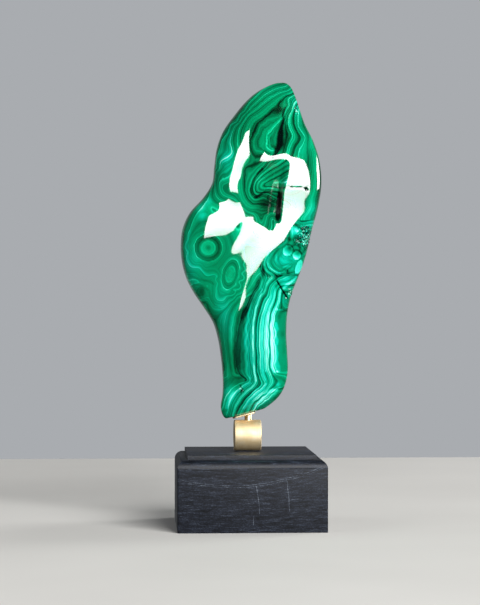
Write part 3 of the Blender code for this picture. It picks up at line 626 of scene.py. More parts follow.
def sheetThrough(lines):
    # The smoothest sheet, a thin plate, through all the points of the lines, each at its line's level
    known = np.array([(x, z) for _, points in lines for x, z in points], float) / 100
    level = np.array([value for value, points in lines for _ in points], float)
    apart = np.linalg.norm(known[:, None] - known[None], axis=2)
    bend = np.where(apart > 0, apart**2 * np.log(np.maximum(apart, 1e-9)), 0.0)
    count, flat = len(known), np.column_stack([np.ones(len(known)), known])
    system = np.zeros((count + 3, count + 3))
    system[:count, :count] = bend + 2e-5 * np.eye(count)  # a little slack at each point
    system[:count, count:] = flat
    system[count:, :count] = flat.T
    weights = np.linalg.solve(system, np.concatenate([level, np.zeros(3)]))

    def sheet(x, z):
        place = np.stack([x, z], axis=1) / 100
        total = weights[count] + place @ weights[count + 1:]
        for point, weight in zip(known, weights[:count]):
            square = ((place - point) ** 2).sum(axis=1)
            total += weight * 0.5 * square * np.log(np.maximum(square, 1e-12))
        return total

    return sheet


def ovalPoint(x, z, halfWidth, halfHeight, turn, share, angle):
    # A point of an oval place, at this share of the way out to its rim
    along, across = halfWidth * share * math.cos(angle), halfHeight * share * math.sin(angle)
    c, s = math.cos(math.radians(turn)), math.sin(math.radians(turn))
    return x + along * c - across * s, z + along * s + across * c


def eyeLines():
    count = banding["eyePoints"]
    return [(level, [ovalPoint(*oval, share, 2 * math.pi * step / count) for step in range(count)])
            for *oval, levels in banding["eyes"] for share, level in levels]


def outInOval(x, z, centreX, centreZ, halfWidth, halfHeight, turn):
    # 0 in the middle of an oval place, 1 on its rim
    along, across = alongAndAcross(x, z, centreX, centreZ, turn)
    return np.hypot(along / halfWidth, across / halfHeight)


def patch(x, z, oval, sharpness=2):
    # 1 in the middle of an oval place, 0.37 on its rim, then running out
    return np.exp(-(outInOval(x, z, *oval) ** sharpness))


def addPlaces(fields, x, z, rows, share, sharpness=2):
    # Each row is an oval place, and what it adds to each field
    for row in rows:
        amount = patch(x, z, row[:5], sharpness) * share
        for field, change in zip(fields, row[5:]):
            field += change * amount


def stretches(x, z, points):
    # For each straight stretch of a line: its ends, how far along it each place lies, and how far off
    for start, end in zip(points, points[1:]):
        alongX, alongZ = end[0] - start[0], end[1] - start[1]
        t = ((x - start[0]) * alongX + (z - start[1]) * alongZ) / (alongX**2 + alongZ**2)
        t = np.clip(t, 0, 1)
        yield start, end, t, np.hypot(x - start[0] - t * alongX, z - start[1] - t * alongZ)


def distanceToLine(x, z, points):
    return np.min([off for _, _, _, off in stretches(x, z, points)], axis=0)


def shareOfStroke(x, z, points):
    # 1 on a line of changing half width, falling to 0 at its soft edge
    share = np.zeros(len(x))
    for start, end, t, off in stretches(x, z, points):
        width = start[2] + t * (end[2] - start[2])
        share = np.maximum(share, np.clip((1.4 * width - off) / (0.8 * width), 0, 1))
    return eased(share)


def insideOutline(x, z, points):
    inside = np.zeros(len(x), bool)
    for (x1, z1), (x2, z2) in zip(points, points[1:] + points[:1]):
        if z1 != z2:
            crosses = (z1 > z) != (z2 > z)
            inside ^= crosses & (x < (x2 - x1) * (z - z1) / (z2 - z1) + x1)
    return inside


polish = {
    "broadWaver": 170.0,  # features per metre: the bands waver over 6 mm
    "fineWaver": 650.0,  # and over 1.5 mm
    "fineShare": 0.4,
    "waver": 1.8,  # by so many levels
    "mediumBands": 0.3,  # per level: between the drawn bands run finer ones, about 1.5 mm
    "thinBands": 0.75,  # and 1 mm wide
    "speckle": 1500.0,
    "cells": 1000.0,  # the ground crystals of the druse are 1 mm wide
    "grain": 1300.0,
    "smear": 90.0,
    "middleTone": 0.445,
    # Along one band's width: the thin pale line at its start, and the dark band in its middle
    "pale": [(0.0, 1.0), (0.018, 0.7), (0.04, 0.0), (0.965, 0.0), (0.985, 0.7), (1.0, 1.0)],
    "dark": [(0.0, 0.58), (0.2, 0.56), (0.34, 0.48), (0.43, 0.32), (0.5, 0.2), (0.56, 0.3), (0.64, 0.44),
             (0.8, 0.54), (1.0, 0.58)],
    "crisp": [(0.34, 0.0), (0.42, 0.36), (0.5, 0.5), (0.58, 0.64), (0.66, 1.0)],  # sharpens the thin bands
    # Each tone's green, and its turquoise
    "tones": [
        (0.0, "#000a06", "#000c0a"), (0.14, "#002413", "#002c20"), (0.28, "#004627", "#00523e"),
        (0.42, "#006a42", "#007659"), (0.56, "#008556", "#009376"), (0.7, "#02a672", "#04b89b"),
        (0.85, "#20cb9c", "#3fdcc6"), (1.0, "#94f4dc", "#b4f8ec"),
    ],
}


def polishedMalachite():
    # Botryoidal copper carbonate, sawn, ground and polished to a mirror: nested bands from near black to
    # mint follow how it grew, and the gloss shows the lamps with hard edges. Rough where crystals lie open.
    material, tree, shader, place = newMaterial("polishedMalachite")
    bandUpper, bandLower, side, bold, stripe, line, lift, teal, rough, dull = (
        addNode(tree, "Attribute", attribute_name=name).outputs["Fac"] for name in
        ("bandUpper", "bandLower", "side", "bold", "stripe", "line", "lift", "teal", "rough", "dull"))
    isLower = addNode(tree, "Math", {0: side, 1: 0.0}, operation="GREATER_THAN")
    level = addNode(tree, "Mix", {"Factor": isLower, "A": bandUpper, "B": bandLower})
    broadWaver = addNode(tree, "TexNoise", {"Vector": place, "Scale": polish["broadWaver"], "Detail": 1.0})
    fineWaver = addNode(tree, "TexNoise", {"Vector": place, "Scale": polish["fineWaver"], "Detail": 2.0})
    waver = addNode(tree, "Math", {0: fineWaver, 1: polish["fineShare"], 2: broadWaver},
                    operation="MULTIPLY_ADD")
    waver = addNode(tree, "Math", {0: waver, 1: (1 + polish["fineShare"]) / 2}, operation="SUBTRACT")
    waver = addNode(tree, "Math", {0: waver, 1: bold}, operation="MULTIPLY")
    level = addNode(tree, "Math", {0: waver, 1: polish["waver"], 2: level}, operation="MULTIPLY_ADD")
    phase = addNode(tree, "Math", {0: level, 1: 0.1}, operation="MULTIPLY")
    phase = addNode(tree, "Math", {0: phase}, operation="FRACT")
    pale, dark = (addNode(tree, "ValToRGB", {"Fac": phase}, polish[name]) for name in ("pale", "dark"))
    medium = addNode(tree, "TexNoise", {"W": level, "Scale": polish["mediumBands"], "Detail": 3.0,
                                        "Roughness": 0.65}, noise_dimensions="1D")
    thin = addNode(tree, "TexNoise", {"W": level, "Scale": polish["thinBands"], "Detail": 2.0,
                                      "Roughness": 0.6}, noise_dimensions="1D")
    thin = addNode(tree, "ValToRGB", {"Fac": thin}, polish["crisp"])
    thin = addNode(tree, "Math", {0: thin, 1: 0.5}, operation="SUBTRACT")
    speckle = addNode(tree, "TexNoise", {"Vector": place, "Scale": polish["speckle"], "Detail": 2.0})
    broad = addNode(tree, "Math", {0: medium, 1: 0.9, 2: dark}, operation="MULTIPLY_ADD")
    broad = addNode(tree, "Math", {0: broad, 1: 0.93}, operation="SUBTRACT")
    # The crystals of the druse are ground flat in the polish: dark and pale ones side by side
    cells = addNode(tree, "TexVoronoi", {"Vector": place, "Scale": polish["cells"]}).outputs["Color"]
    cells = addNode(tree, "SeparateColor", {0: cells})
    cells = addNode(tree, "MapRange", {"Value": cells, "To Min": -0.45, "To Max": 0.5})
    tone = addNode(tree, "Math", {0: lift, 1: polish["middleTone"]}, operation="ADD")
    for layer, share in ((broad, bold), (thin, stripe), (pale, line), (speckle, 0.08), (cells, rough)):
        tone = addNode(tree, "Math", {0: layer, 1: share, 2: tone}, operation="MULTIPLY_ADD")
    green, turquoise = (
        addNode(tree, "ValToRGB", {"Fac": tone}, [(row[0], row[pick]) for row in polish["tones"]])
        for pick in (1, 2))
    colour = addNode(tree, "Mix", {"Factor": teal, 6: green, 7: turquoise}, data_type="RGBA").outputs[2]
    # Polish is mirror smooth with a faint smear, and grainy in the druse
    smear = addNode(tree, "TexNoise", {"Vector": place, "Scale": polish["smear"], "Detail": 3.0})
    gloss = addNode(tree, "MapRange", {"Value": smear, "From Min": 0.3, "From Max": 0.7,
                                       "To Min": 0.03, "To Max": 0.07})
    gloss = addNode(tree, "Math", {0: rough, 1: 0.08, 2: gloss}, operation="MULTIPLY_ADD")
    gloss = addNode(tree, "Math", {0: gloss, 1: dull}, operation="ADD")
    grain = addNode(tree, "TexVoronoi", {"Vector": place, "Scale": polish["grain"]})
    grain = addNode(tree, "Math", {0: grain, 1: rough}, operation="MULTIPLY")
    bump = addNode(tree, "Bump", {"Height": grain, "Strength": 0.5, "Distance": 0.0004})
    feed(shader, {"Base Color": colour, "Roughness": gloss, "IOR": 1.78, "Normal": bump})
    return material


def stoneBall():
    # A ball, and its points as angles up and around, which crowd on the front and the broad faces
    form = bmesh.new()
    bmesh.ops.create_uvsphere(form, u_segments=stone["segments"], v_segments=stone["rings"], radius=1.0)
    ball = np.array([vert.co for vert in form.verts])
    climb = np.arccos(np.clip(-ball[:, 2], -1, 1))
    even = stone["evenRings"]
    rise = 0.5 * (1 - np.cos(climb)) * (1 - even) + even * climb / math.pi
    around = np.arctan2(-ball[:, 1], ball[:, 0])
    around = around + stone["frontShare"] * np.cos(around) * np.abs(np.sin(around)) \
        + stone["faceShare"] / 2 * np.sin(2 * around)
    return form, np.arccos(np.clip(1 - 2 * rise, -1, 1)), around


def drawnFields(points, behind):
    # What the polish shows at each point of the surface, by name, and how far it is sunk there
    x, z = drawnPlace(points)
    onFront = behind < 0
    back = eased(np.clip(behind / banding["backReach"], 0, 1))
    near = 1 - banding["fadeAtBack"] * back

    # Away from the front the bands drift, as they do through a solid stone
    driftX, driftZ = (place + back * (banding[name] + waves(points, name))
                      for place, name in ((x, "driftX"), (z, "driftZ")))
    upper = sheetThrough(banding["upper"] + eyeLines())(driftX, driftZ)
    lower = sheetThrough(banding["lower"])(driftX, driftZ)
    addPlaces((upper, lower), x, z, banding["backEyes"], back)
    side = distanceToLine(driftX, driftZ, banding["fault"])
    side = np.where(insideOutline(driftX, driftZ, banding["fault"]), side, -side)

    lift, teal = waves(points, "tone"), banding["turquoise"] + waves(points, "hue")
    teal += np.where(side > 0, banding["lowerTurquoise"], 0)
    addPlaces((lift, teal), driftX, driftZ, tints, near)
    strokeX, strokeZ = driftX + waves(points, "strokeX"), driftZ + waves(points, "strokeZ")
    for tone, hue, line in strokes:
        amount = shareOfStroke(strokeX, strokeZ, line) * near
        lift += tone * amount
        teal += hue * amount
    for *oval, tones in banding["eyeTones"]:
        lift += np.interp(outInOval(driftX, driftZ, *oval), *zip(*tones)) * near
    bold, stripe, fine = (np.full(len(x), value) for value in banding["strength"])
    addPlaces((bold, stripe, fine), driftX, driftZ, strengths, near)
    rough, dull = np.zeros(len(x)), np.zeros(len(x))
    for oval in drusePatches:
        rough = np.maximum(rough, patch(x, z, oval, 4) * (1 - back))
    rough = np.clip(rough * (1 + waves(points, "druseEdge")), 0, 1)
    addPlaces((dull,), x, z, dullPlaces, onFront, 3)

    sink = rough * waves(points, "druseFloor")
    for centreX, centreZ, halfWidth, halfHeight, turn, depth in openings:
        along, across = alongAndAcross(x, z, centreX, centreZ, turn)
        mask = np.exp(-((along / halfWidth) ** 6) - (across / halfHeight) ** 6) * onFront
        sink += depth * mask
        # painted shade: the opening's colour is darkened for the shade inside it
        lift -= openingPaintedShade * mask
    for halfWidth, line in cracks:
        mask = np.clip(1.6 - distanceToLine(x, z, line) / halfWidth, 0, 1) * onFront
        sink += halfWidth * mask
        lift -= crackShade * mask
    bold, stripe, fine = (np.maximum(strength, 0) for strength in (bold, stripe, fine))
    fields = {"bandUpper": upper, "bandLower": lower, "side": side, "bold": bold, "stripe": stripe,
              "line": fine, "lift": lift, "teal": np.clip(teal, 0, 1), "rough": rough, "dull": dull}
    return fields, sink


def makeStone():
    form, climb, around = stoneBall()
    points, behind = stoneSurface(climb, around)
    fields, sink = drawnFields(points, behind)
    points[:, 1] += sink
    for vert, point in zip(form.verts, points):
        vert.co = point
    piece = finishPiece("malachiteFreeform", form, polishedMalachite(), "malachite", "malachite_stone")
    for name, values in fields.items():
        attribute = piece.data.attributes.new(name, "FLOAT", "POINT")
        attribute.data.foreach_set("value", values.astype(np.float32))
    return piece


crystals = {
    "seed": 11,
    "tips": 0.45,  # share of a crystal's length that is its point
    "sunk": 0.55,  # share of its length that stays in the stone
    "width": (0.35, 0.6),  # half width and length, as shares of the mean size
    "length": (1.1, 1.9),
    "lean": 0.8,
    "probe": 0.3,  # millimetres between the points that give the surface's slope
    "spread": 0.3,  # of the shade
    "cloud": 1800.0,  # features per metre
    "tones": [(0.1, "#000a14"), (0.35, "#00262c"), (0.6, "#005e46"), (0.85, "#0f9a76"), (1.05, "#a9ecd8")],
    # Clusters: x, z, half width, half height, turn, how many, mean size, mean shade from dark 0 to pale 1
    "clusters": [
        (38.4, 207.2, 2.6, 1.5, 0, 22, 0.7, 0.1), (39.4, 203.4, 2.2, 1.6, 0, 16, 0.65, 0.15),
        (35.6, 200.4, 1.6, 1.4, 0, 12, 0.65, 0.1), (38.4, 206.0, 1.9, 1.3, 20, 7, 0.5, 0.8),
        (36.6, 203.2, 1.3, 1.5, 0, 5, 0.45, 0.8), (33.2, 197.8, 1.9, 1.6, -40, 12, 0.45, 0.7),
        (38.8, 199.0, 3.4, 4.6, 10, 36, 0.55, 0.3), (42.6, 205.0, 1.6, 4.4, 15, 22, 0.5, 0.4),
        (29.2, 162.6, 1.5, 2.4, 0, 14, 0.55, 0.3), (29.5, 163.6, 0.6, 0.6, 0, 3, 0.5, 0.9),
        (13.4, 172.6, 2.4, 0.7, 5, 10, 0.3, 0.7), (33.4, 291, 0.9, 3.6, 16, 8, 0.4, 0.4),
        (-5.0, 94.8, 0.7, 1.8, 30, 6, 0.35, 0.7),
    ],
}


def druseCrystal():
    # Small glassy crystals lining the open druse: near black blue, deep green and pale mint ones side by
    # side, with bright facets
    material, tree, shader, place = newMaterial("druseCrystal")
    shade = addNode(tree, "Attribute", attribute_name="shade").outputs["Fac"]
    cloud = addNode(tree, "TexNoise", {"Vector": place, "Scale": crystals["cloud"], "Detail": 2.0})
    tone = addNode(tree, "Math", {0: cloud, 1: 0.3, 2: shade}, operation="MULTIPLY_ADD")
    colour = addNode(tree, "ValToRGB", {"Fac": tone}, crystals["tones"])
    worn = addNode(tree, "MapRange", {"Value": cloud, "To Min": 0.05, "To Max": 0.2})
    feed(shader, {"Base Color": colour, "Roughness": worn, "IOR": 1.65})
    return material


def makeCrystals():
    draw = random.Random(crystals["seed"])
    tips, step = crystals["tips"], crystals["probe"]
    form = bmesh.new()
    shades = []
    for *oval, count, size, shade in crystals["clusters"]:
        for _ in range(count):
            angle, share = draw.uniform(0, 2 * math.pi), math.sqrt(draw.random())
            x, z = ovalPoint(*oval, share, angle)
            root, right, above = (Vector(frontPoint(x + aside, z + up))
                                  for aside, up in ((0, 0), (step, 0), (0, step)))
            outward = (right - root).cross(above - root).normalized()
            lean = Vector([draw.uniform(-1, 1) for _ in range(3)])
            axis = (outward + crystals["lean"] * lean).normalized()
            width, length = size * draw.uniform(*crystals["width"]), size * draw.uniform(*crystals["length"])
            made = bmesh.ops.create_cone(form, cap_ends=True, segments=5, radius1=width, radius2=width,
                                         depth=length * (1 - tips))["verts"]
            crown = [face for face in {f for vert in made for f in vert.link_faces}
                     if len(face.verts) == 5 and face.calc_center_median().z > 0]
            point = bmesh.ops.poke(form, faces=crown)["verts"][0]
            point.co.z += length * tips
            verts = made + [point]
            bmesh.ops.rotate(form, cent=(0, 0, 0), matrix=axis.to_track_quat("Z", "Y").to_matrix(),
                             verts=verts)
            bmesh.ops.translate(form, vec=root + axis * length * (0.5 - crystals["sunk"]), verts=verts)
            spread = draw.uniform(-crystals["spread"], crystals["spread"])
            shades += [min(1, max(0, shade + spread))] * len(verts)
    piece = finishPiece("druseCrystals", form, druseCrystal(), "malachite")
    piece.data.shade_flat()
    piece.data.attributes.new("shade", "FLOAT", "POINT").data.foreach_set("value", shades)
    return piece


print("stone")
makeStone()
print("druse crystals")
makeCrystals()


brass = {
    "rim": 0.7,  # rounding of the drum's edges
    "bulge": 0.35,  # how far its ends stand out in the middle
    "bulgeRings": 5,  # these carry the slight dome
    "ringWidth": 0.17,  # share of the radius
    "bulgeReach": 0.92,
    "segments": 96,
    "pinSegments": 48,
    "pinRound": 0.15,
    "plateSize": (16.0, 12.0, 1.0),
    "plateCorner": 2.0,
    "plateRound": 0.2,
    "toolMarks": 4000.0,  # per metre: 0.25 mm apart, drawn wider than real ones so that they show
    "alongMarks": 60.0,
    "cloud": 160.0,
    "tones": [(0.25, "#e9cf9c"), (0.55, "#f1ddb4"), (0.8, "#f6e8ca")],
    "roughness": {"turnedBrassDrum": 0.63, "turnedBrassPin": 0.38, "brushedBrassPlate": 0.4},
}


def turnedBrass(name, axis):
    # Yellow brass, turned and left satin: soft streaked highlights with faint tool marks around the axis
    material, tree, shader, place = newMaterial(name)
    scale = [brass["alongMarks"]] * 3
    scale[axis] = brass["toolMarks"]
    marks = addNode(tree, "Mapping", {"Vector": place, "Scale": scale})
    lines = addNode(tree, "TexNoise", {"Vector": marks, "Scale": 1.0, "Detail": 3.0})
    cloud = addNode(tree, "TexNoise", {"Vector": place, "Scale": brass["cloud"], "Detail": 3.0})
    colour = addNode(tree, "ValToRGB", {"Fac": cloud}, brass["tones"])
    roughness = brass["roughness"][name]
    uneven = addNode(tree, "MapRange", {"Value": lines, "From Min": 0.25, "From Max": 0.75,
                                        "To Min": roughness - 0.06, "To Max": roughness + 0.08})
    bump = addNode(tree, "Bump", {"Height": lines, "Strength": 0.25, "Distance": 0.00008})
    feed(shader, {"Base Color": colour, "Metallic": 1.0, "Roughness": uneven, "Normal": bump})
    return material


def makeDrum():
    low, high = frameBox("brass_drum")
    radius, length, bulge = (high[2] - low[2]) / 2, high[0] - low[0], brass["bulge"]
    form = bmesh.new()
    bmesh.ops.create_cone(form, cap_ends=True, segments=brass["segments"], radius1=radius, radius2=radius,
                          depth=length - 2 * bulge)
    ends = [face for face in form.faces if len(face.verts) > 4]
    roundEdges(form, [edge for face in ends for edge in face.edges], brass["rim"], 5)
    for end in sorted(form.faces, key=lambda face: -face.calc_area())[:2]:
        for _ in range(brass["bulgeRings"]):
            bmesh.ops.inset_region(form, faces=[end], thickness=brass["ringWidth"] * radius)
        outward = math.copysign(1, end.calc_center_median().z)
        for vert in form.verts:
            away = math.hypot(vert.co.x, vert.co.y) / radius
            if vert.co.z * outward > length / 2 - bulge - 0.01 and away < brass["bulgeReach"]:
                vert.co.z += outward * bulge * (1 - away**2)
    bmesh.ops.rotate(form, cent=(0, 0, 0), matrix=Matrix.Rotation(math.pi / 2, 3, "Y"), verts=form.verts)
    bmesh.ops.translate(form, vec=Vector((low + high) / 2), verts=form.verts)
    return finishPiece("brassDrum", form, turnedBrass("turnedBrassDrum", 0), "brass", "brass_drum")


def makePin():
    low, high = frameBox("brass_pin")
    radius, middle = (high[0] - low[0]) / 2, (low + high) / 2
    form = bmesh.new()
    bmesh.ops.create_cone(form, cap_ends=True, segments=brass["pinSegments"], radius1=radius, radius2=radius,
                          depth=high[2] - low[2])
    bmesh.ops.translate(form, vec=Vector(middle), verts=form.verts)
    for vert in form.verts:
        if vert.co.z > middle[2]:  # the top is cut to the slope of the plate
            vert.co.z = high[2] + stone["seat"][2] * (vert.co.x - high[0])
    rims = [edge for edge in form.edges if any(len(face.verts) > 4 for face in edge.link_faces)]
    roundEdges(form, rims, brass["pinRound"], 2)
    return finishPiece("brassPin", form, turnedBrass("turnedBrassPin", 2), "brass", "brass_pin")


def makePlate():
    low, high = frameBox("brass_plate")
    form = bmesh.new()
    bmesh.ops.create_cube(form, size=1.0)
    bmesh.ops.scale(form, vec=brass["plateSize"], verts=form.verts)
    corners = [edge for edge in form.edges if edge.verts[0].co.z * edge.verts[1].co.z < 0]
    roundEdges(form, corners, brass["plateCorner"], 8)
    rims = [edge for edge in form.edges if any(len(face.verts) > 4 for face in edge.link_faces)]
    roundEdges(form, rims, brass["plateRound"], 3)
    tilt = Matrix.Rotation(-math.atan(stone["seat"][2]), 3, "Y")
    bmesh.ops.rotate(form, cent=(0, 0, 0), matrix=tilt, verts=form.verts)
    bmesh.ops.translate(form, vec=Vector((low + high) / 2), verts=form.verts)
    return finishPiece("brassPlate", form, turnedBrass("brushedBrassPlate", 1), "brass", "brass_plate")


print("brass")
makeDrum()
makePin()
makePlate()


base = {
    "shoulder": 5.9,  # radius of the routed shoulder
    "ledge": 1.6,  # flat left between shoulder and panel
    "step": 3.0,  # height of the raised panel
    "corner": 0.8,  # rounding of the upright corners
    "foot": 0.5,  # rounding of the bottom edge
    "panelEdge": 0.35,
    # What follows is in metres and per metre. The growth rings are wide bowls in the front face.
    "bowlMiddle": -0.014,  # left of the middle of the face
    "bowlRise": 3.4,  # rise to the sides, per square metre
    "bowlLean": 0.12,  # rise to the back
    "bowlWaver": 0.002,
    "waver": 60.0,
    "rings": 700.0,
    "ringShare": 0.1,  # of the tone
    # Grain, saw lines and pores lie level, 0.7, 2.4 and 0.4 mm apart, and break off every few millimetres:
    # scale across, scale upwards, detail, roughness, share of the tone
    "layers": [(130.0, 1500.0, 3.0, 0.6, 0.34), (60.0, 420.0, 2.0, 0.5, 0.16),
               (900.0, 2600.0, 2.0, 0.5, 0.34)],
    "lineWidth": 0.0004,  # half of it
    "paleRings": (0.0256, 0.0269),  # levels of the bowls that carry the pale growth ring, drawn double
    "ringAmount": 0.13,
    # Hairline checks: x, lean to the right, lowest and highest point
    "checks": [(0.0083, -0.136, 0.013, 0.0315), (0.027, -0.08, 0.0144, 0.0346),
               (0.0023, 0.0, 0.0057, 0.0111)],
    "checkWaver": 0.003,
    "checkAmount": 0.16,
    "frontFrom": -0.0495,  # only the front face has pale lines
    "tones": [(0.38, "#04060b"), (0.46, "#0c101a"), (0.5, "#151b28"), (0.56, "#262d3a"), (0.72, "#6a7179")],
}


def ebonisedWood():
    # Open-grained hardwood, sawn square and stained charcoal: fine level saw and grain lines, a pale growth
    # ring that rises to the right, hairline checks, and a satin top
    material, tree, shader, place = newMaterial("ebonisedWood")
    x, y, z = addNode(tree, "SeparateXYZ", {0: place}).outputs
    waver = addNode(tree, "TexNoise", {"Vector": place, "Scale": base["waver"], "Detail": 3.0})
    square = addNode(tree, "Math", {0: x, 1: base["bowlMiddle"]}, operation="SUBTRACT")
    square = addNode(tree, "Math", {0: square, 1: 2.0}, operation="POWER")
    bowl = z
    for rise, amount in ((square, -base["bowlRise"]), (waver, base["bowlWaver"]), (y, base["bowlLean"])):
        bowl = addNode(tree, "Math", {0: rise, 1: amount, 2: bowl}, operation="MULTIPLY_ADD")
    rings = addNode(tree, "TexNoise", {"W": bowl, "Scale": base["rings"], "Detail": 3.0, "Roughness": 0.6},
                    noise_dimensions="1D")
    tone = addNode(tree, "Math", {0: rings, 1: base["ringShare"]}, operation="MULTIPLY")
    for across, upwards, detail, roughness, share in base["layers"]:
        space = addNode(tree, "Mapping", {"Vector": place, "Scale": (across, across, upwards)})
        layer = addNode(tree, "TexNoise", {"Vector": space, "Scale": 1.0, "Detail": detail,
                                           "Roughness": roughness})
        tone = addNode(tree, "Math", {0: layer, 1: share, 2: tone}, operation="MULTIPLY_ADD")
    # Pale lines: what they are level in, its value, lowest and highest point, amount
    lines = [(bowl, level, -1.0, 1.0, base["ringAmount"]) for level in base["paleRings"]]
    for middle, lean, low, high in base["checks"]:
        across = x
        for height, amount in ((z, -lean), (waver, base["checkWaver"])):
            across = addNode(tree, "Math", {0: height, 1: amount, 2: across}, operation="MULTIPLY_ADD")
        lines.append((across, middle, low, high, base["checkAmount"]))
    onFront = addNode(tree, "Math", {0: y, 1: base["frontFrom"]}, operation="LESS_THAN")
    for across, middle, low, high, amount in lines:
        away = addNode(tree, "Math", {0: across, 1: middle}, operation="SUBTRACT")
        away = addNode(tree, "Math", {0: away}, operation="ABSOLUTE")
        near = addNode(tree, "MapRange", {"Value": away, "From Max": base["lineWidth"], "To Min": amount,
                                          "To Max": 0.0})
        above = addNode(tree, "Math", {0: z, 1: low}, operation="GREATER_THAN")
        below = addNode(tree, "Math", {0: z, 1: high}, operation="LESS_THAN")
        for mask in (above, below, onFront):
            near = addNode(tree, "Math", {0: near, 1: mask}, operation="MULTIPLY")
        tone = addNode(tree, "Math", {0: near, 1: tone}, operation="ADD")
    colour = addNode(tree, "ValToRGB", {"Fac": tone}, base["tones"])
    satin = addNode(tree, "MapRange", {"Value": tone, "From Min": 0.36, "From Max": 0.62,
                                       "To Min": 0.42, "To Max": 0.6})
    bump = addNode(tree, "Bump", {"Height": tone, "Strength": 0.35, "Distance": 0.0002})
    feed(shader, {"Base Color": colour, "Roughness": satin, "Normal": bump, "IOR": 1.5})
    feed(shader, {"Specular IOR Level": 0.4})  # stained fibre with a little wax
    return material


def makeBase():
    low, high = frameBox("wood_base")
    width, depth, height = high - low
    block = height - base["step"]
    form = bmesh.new()
    bmesh.ops.create_cube(form, size=1.0)
    bmesh.ops.scale(form, vec=(width, depth, block), verts=form.verts)
    bmesh.ops.translate(form, vec=(0, 0, low[2] + block / 2), verts=form.verts)
    top = max(form.faces, key=lambda face: face.calc_center_median().z)
    roundEdges(form, list(top.edges), base["shoulder"], 12)
    top = max(form.faces, key=lambda face: (round(face.calc_center_median().z, 2), face.calc_area()))
    bmesh.ops.inset_region(form, faces=[top], thickness=base["ledge"])
    raised = bmesh.ops.extrude_face_region(form, geom=[top])["geom"]
    panel = [item for item in raised if isinstance(item, bmesh.types.BMVert)]
    bmesh.ops.translate(form, vec=(0, 0, base["step"]), verts=panel)
    bmesh.ops.delete(form, geom=[top], context="FACES_ONLY")
    rim = [edge for edge in form.edges if all(vert in panel for vert in edge.verts)]
    roundEdges(form, rim, base["panelEdge"], 3)
    uprights = [edge for edge in form.edges if abs(edge.verts[0].co.z - edge.verts[1].co.z) > height / 2]
    roundEdges(form, uprights, base["corner"], 4)
    bottom = [edge for edge in form.edges if all(vert.co.z < low[2] + 0.01 for vert in edge.verts)]
    roundEdges(form, bottom, base["foot"], 3)
    piece = finishPiece("woodBase", form, ebonisedWood(), "ebonised_wood", "wood_base")
    piece.data.set_sharp_from_angle(angle=math.radians(40))
    return piece


print("base")
makeBase()


room = {
    "floorSide": 2.4,  # metres
    "floorBack": 0.62,
    "floorTones": [(0.3, "#d4d2cd"), (0.7, "#d9d7d2")],
    "mottle": 6.0,  # per metre
    # The wall that the camera sees, what lights the object from all round and from the left, and what its
    # polish mirrors in front and behind it
    "greys": {"wall": "#a9acb0", "fill": "#4e5054", "sideFill": "#f4f6f8", "mirrorFront": "#242629",
              "mirrorWall": "#8a8d91"},
    "sideFrom": -0.4,  # the side fill and the mirrored wall begin here, as a direction's x and y
    "wallFrom": 0.55,
}


def paleFloor():
    # Matt painted board: an even pale surface with the faintest mottle
    material, tree, shader, place = newMaterial("matteFloor")
    mottle = addNode(tree, "TexNoise", {"Vector": place, "Scale": room["mottle"], "Detail": 2.0})
    colour = addNode(tree, "ValToRGB", {"Fac": mottle}, room["floorTones"])
    feed(shader, {"Base Color": colour, "Roughness": 0.7})
    return material


def makeFloor():
    form = bmesh.new()
    bmesh.ops.create_grid(form, x_segments=1, y_segments=1, size=room["floorSide"] / 2)
    bmesh.ops.translate(form, vec=(0, room["floorBack"] - room["floorSide"] / 2, 0), verts=form.verts)
    floor = newObject("floor", form, paleFloor())
    floor.visible_glossy = False  # as if a black card kept its glare out of the polish


def makeWorld():
    # Walls all round, of another grey for each thing that they do
    world = bpy.data.worlds.new("studio")
    world.use_nodes = True
    tree = world.node_tree
    tree.nodes.clear()
    direction = addNode(tree, "TexCoord").outputs["Generated"]
    x, y, _ = addNode(tree, "SeparateXYZ", {0: direction}).outputs
    path = addNode(tree, "LightPath").outputs
    behind, beside = (
        addNode(tree, "MapRange", {"Value": value, "From Min": room[start], "From Max": end},
                interpolation_type="SMOOTHSTEP")
        for value, start, end in ((y, "wallFrom", 1.0), (x, "sideFrom", -1.0)))
    greys = {name: linear(colour) for name, colour in room["greys"].items()}
    for name, share, first, second in (("mirrored", behind, "mirrorFront", "mirrorWall"),
                                       ("filling", beside, "fill", "sideFill"),
                                       ("unseen", path["Is Glossy Ray"], "filling", "mirrored"),
                                       ("all", path["Is Camera Ray"], "unseen", "wall")):
        greys[name] = addNode(tree, "Mix", {"Factor": share, 6: greys[first], 7: greys[second]},
                              data_type="RGBA").outputs[2]
    addNode(tree, "OutputWorld", {"Surface": addNode(tree, "Background", {"Color": greys["all"]})})
    bpy.context.scene.world = world


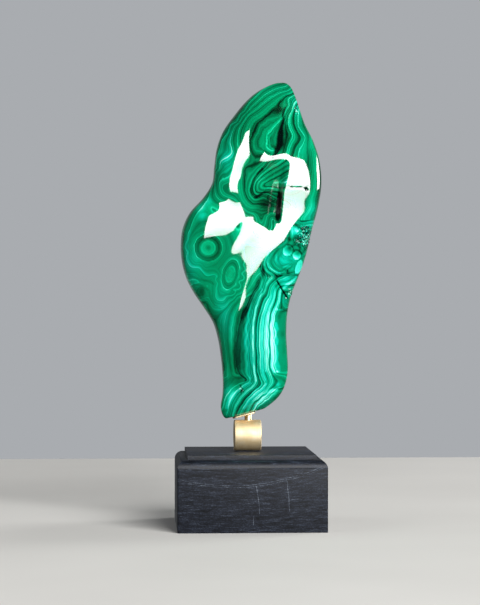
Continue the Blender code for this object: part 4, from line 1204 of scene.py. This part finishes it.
lamps = {  # degrees to the right of the front, elevation, half width, half height; metres; radiance
    "key": {"azimuth": 25, "elevation": 22, "halfWidth": 18, "halfHeight": 18, "distance": 4.0,
            "radiance": 15, "foot": 0.55},
    "rim": {"azimuth": 115, "elevation": 12, "halfWidth": 13, "halfHeight": 10, "distance": 3.0,
            "radiance": 12, "foot": 0.8},
}


def addLamp(name, azimuth, elevation, halfWidth, halfHeight, distance, radiance, foot):
    # A softbox on a stand, its cloth a little darker at the foot
    aim = Vector((0, 0, 0.2))
    a, e = math.radians(azimuth), math.radians(elevation)
    out = Vector((math.sin(a) * math.cos(e), -math.cos(a) * math.cos(e), math.sin(e)))
    lamp = bpy.data.lights.new(name, "AREA")
    lamp.shape = "RECTANGLE"
    lamp.size = 2 * distance * math.tan(math.radians(halfWidth))
    lamp.size_y = 2 * distance * math.tan(math.radians(halfHeight))
    lamp.energy = radiance * math.pi * lamp.size * lamp.size_y
    lamp.use_nodes = True
    tree = lamp.node_tree
    across = addNode(tree, "NewGeometry").outputs["Parametric"]
    height = addNode(tree, "SeparateXYZ", {0: across}).outputs["Y"]
    cloth = addNode(tree, "MapRange", {"Value": height, "From Max": 0.4, "To Min": foot})
    feed(tree.nodes["Emission"], {"Strength": cloth})
    holder = bpy.data.objects.new(name, lamp)
    holder.location = aim + out * distance
    holder.rotation_euler = out.to_track_quat("Z", "Y").to_euler()
    bpy.context.scene.collection.objects.link(holder)


photo = {
    "place": (-0.0756, -1.3268, 0.1467),  # metres
    "yaw": 3.0,  # degrees to the right of +Y
    "pitch": 0.38,
    "lens": 113.0,
}


def makeCamera():
    camera = bpy.data.objects.new("camera", bpy.data.cameras.new("camera"))
    bpy.context.scene.collection.objects.link(camera)
    yaw, pitch = math.radians(photo["yaw"]), math.radians(photo["pitch"])
    ahead = Vector((math.sin(yaw) * math.cos(pitch), math.cos(yaw) * math.cos(pitch), math.sin(pitch)))
    camera.location = photo["place"]
    camera.rotation_euler = ahead.to_track_quat("-Z", "Y").to_euler()
    camera.data.lens = photo["lens"]
    camera.data.sensor_width = 36.0
    camera.data.clip_start = 0.05
    bpy.context.scene.camera = camera


print("room, lamps and camera")
makeFloor()
makeWorld()
for lampName, lampValues in lamps.items():
    addLamp(lampName, **lampValues)
makeCamera()
bpy.context.scene.view_settings.view_transform = "Standard"
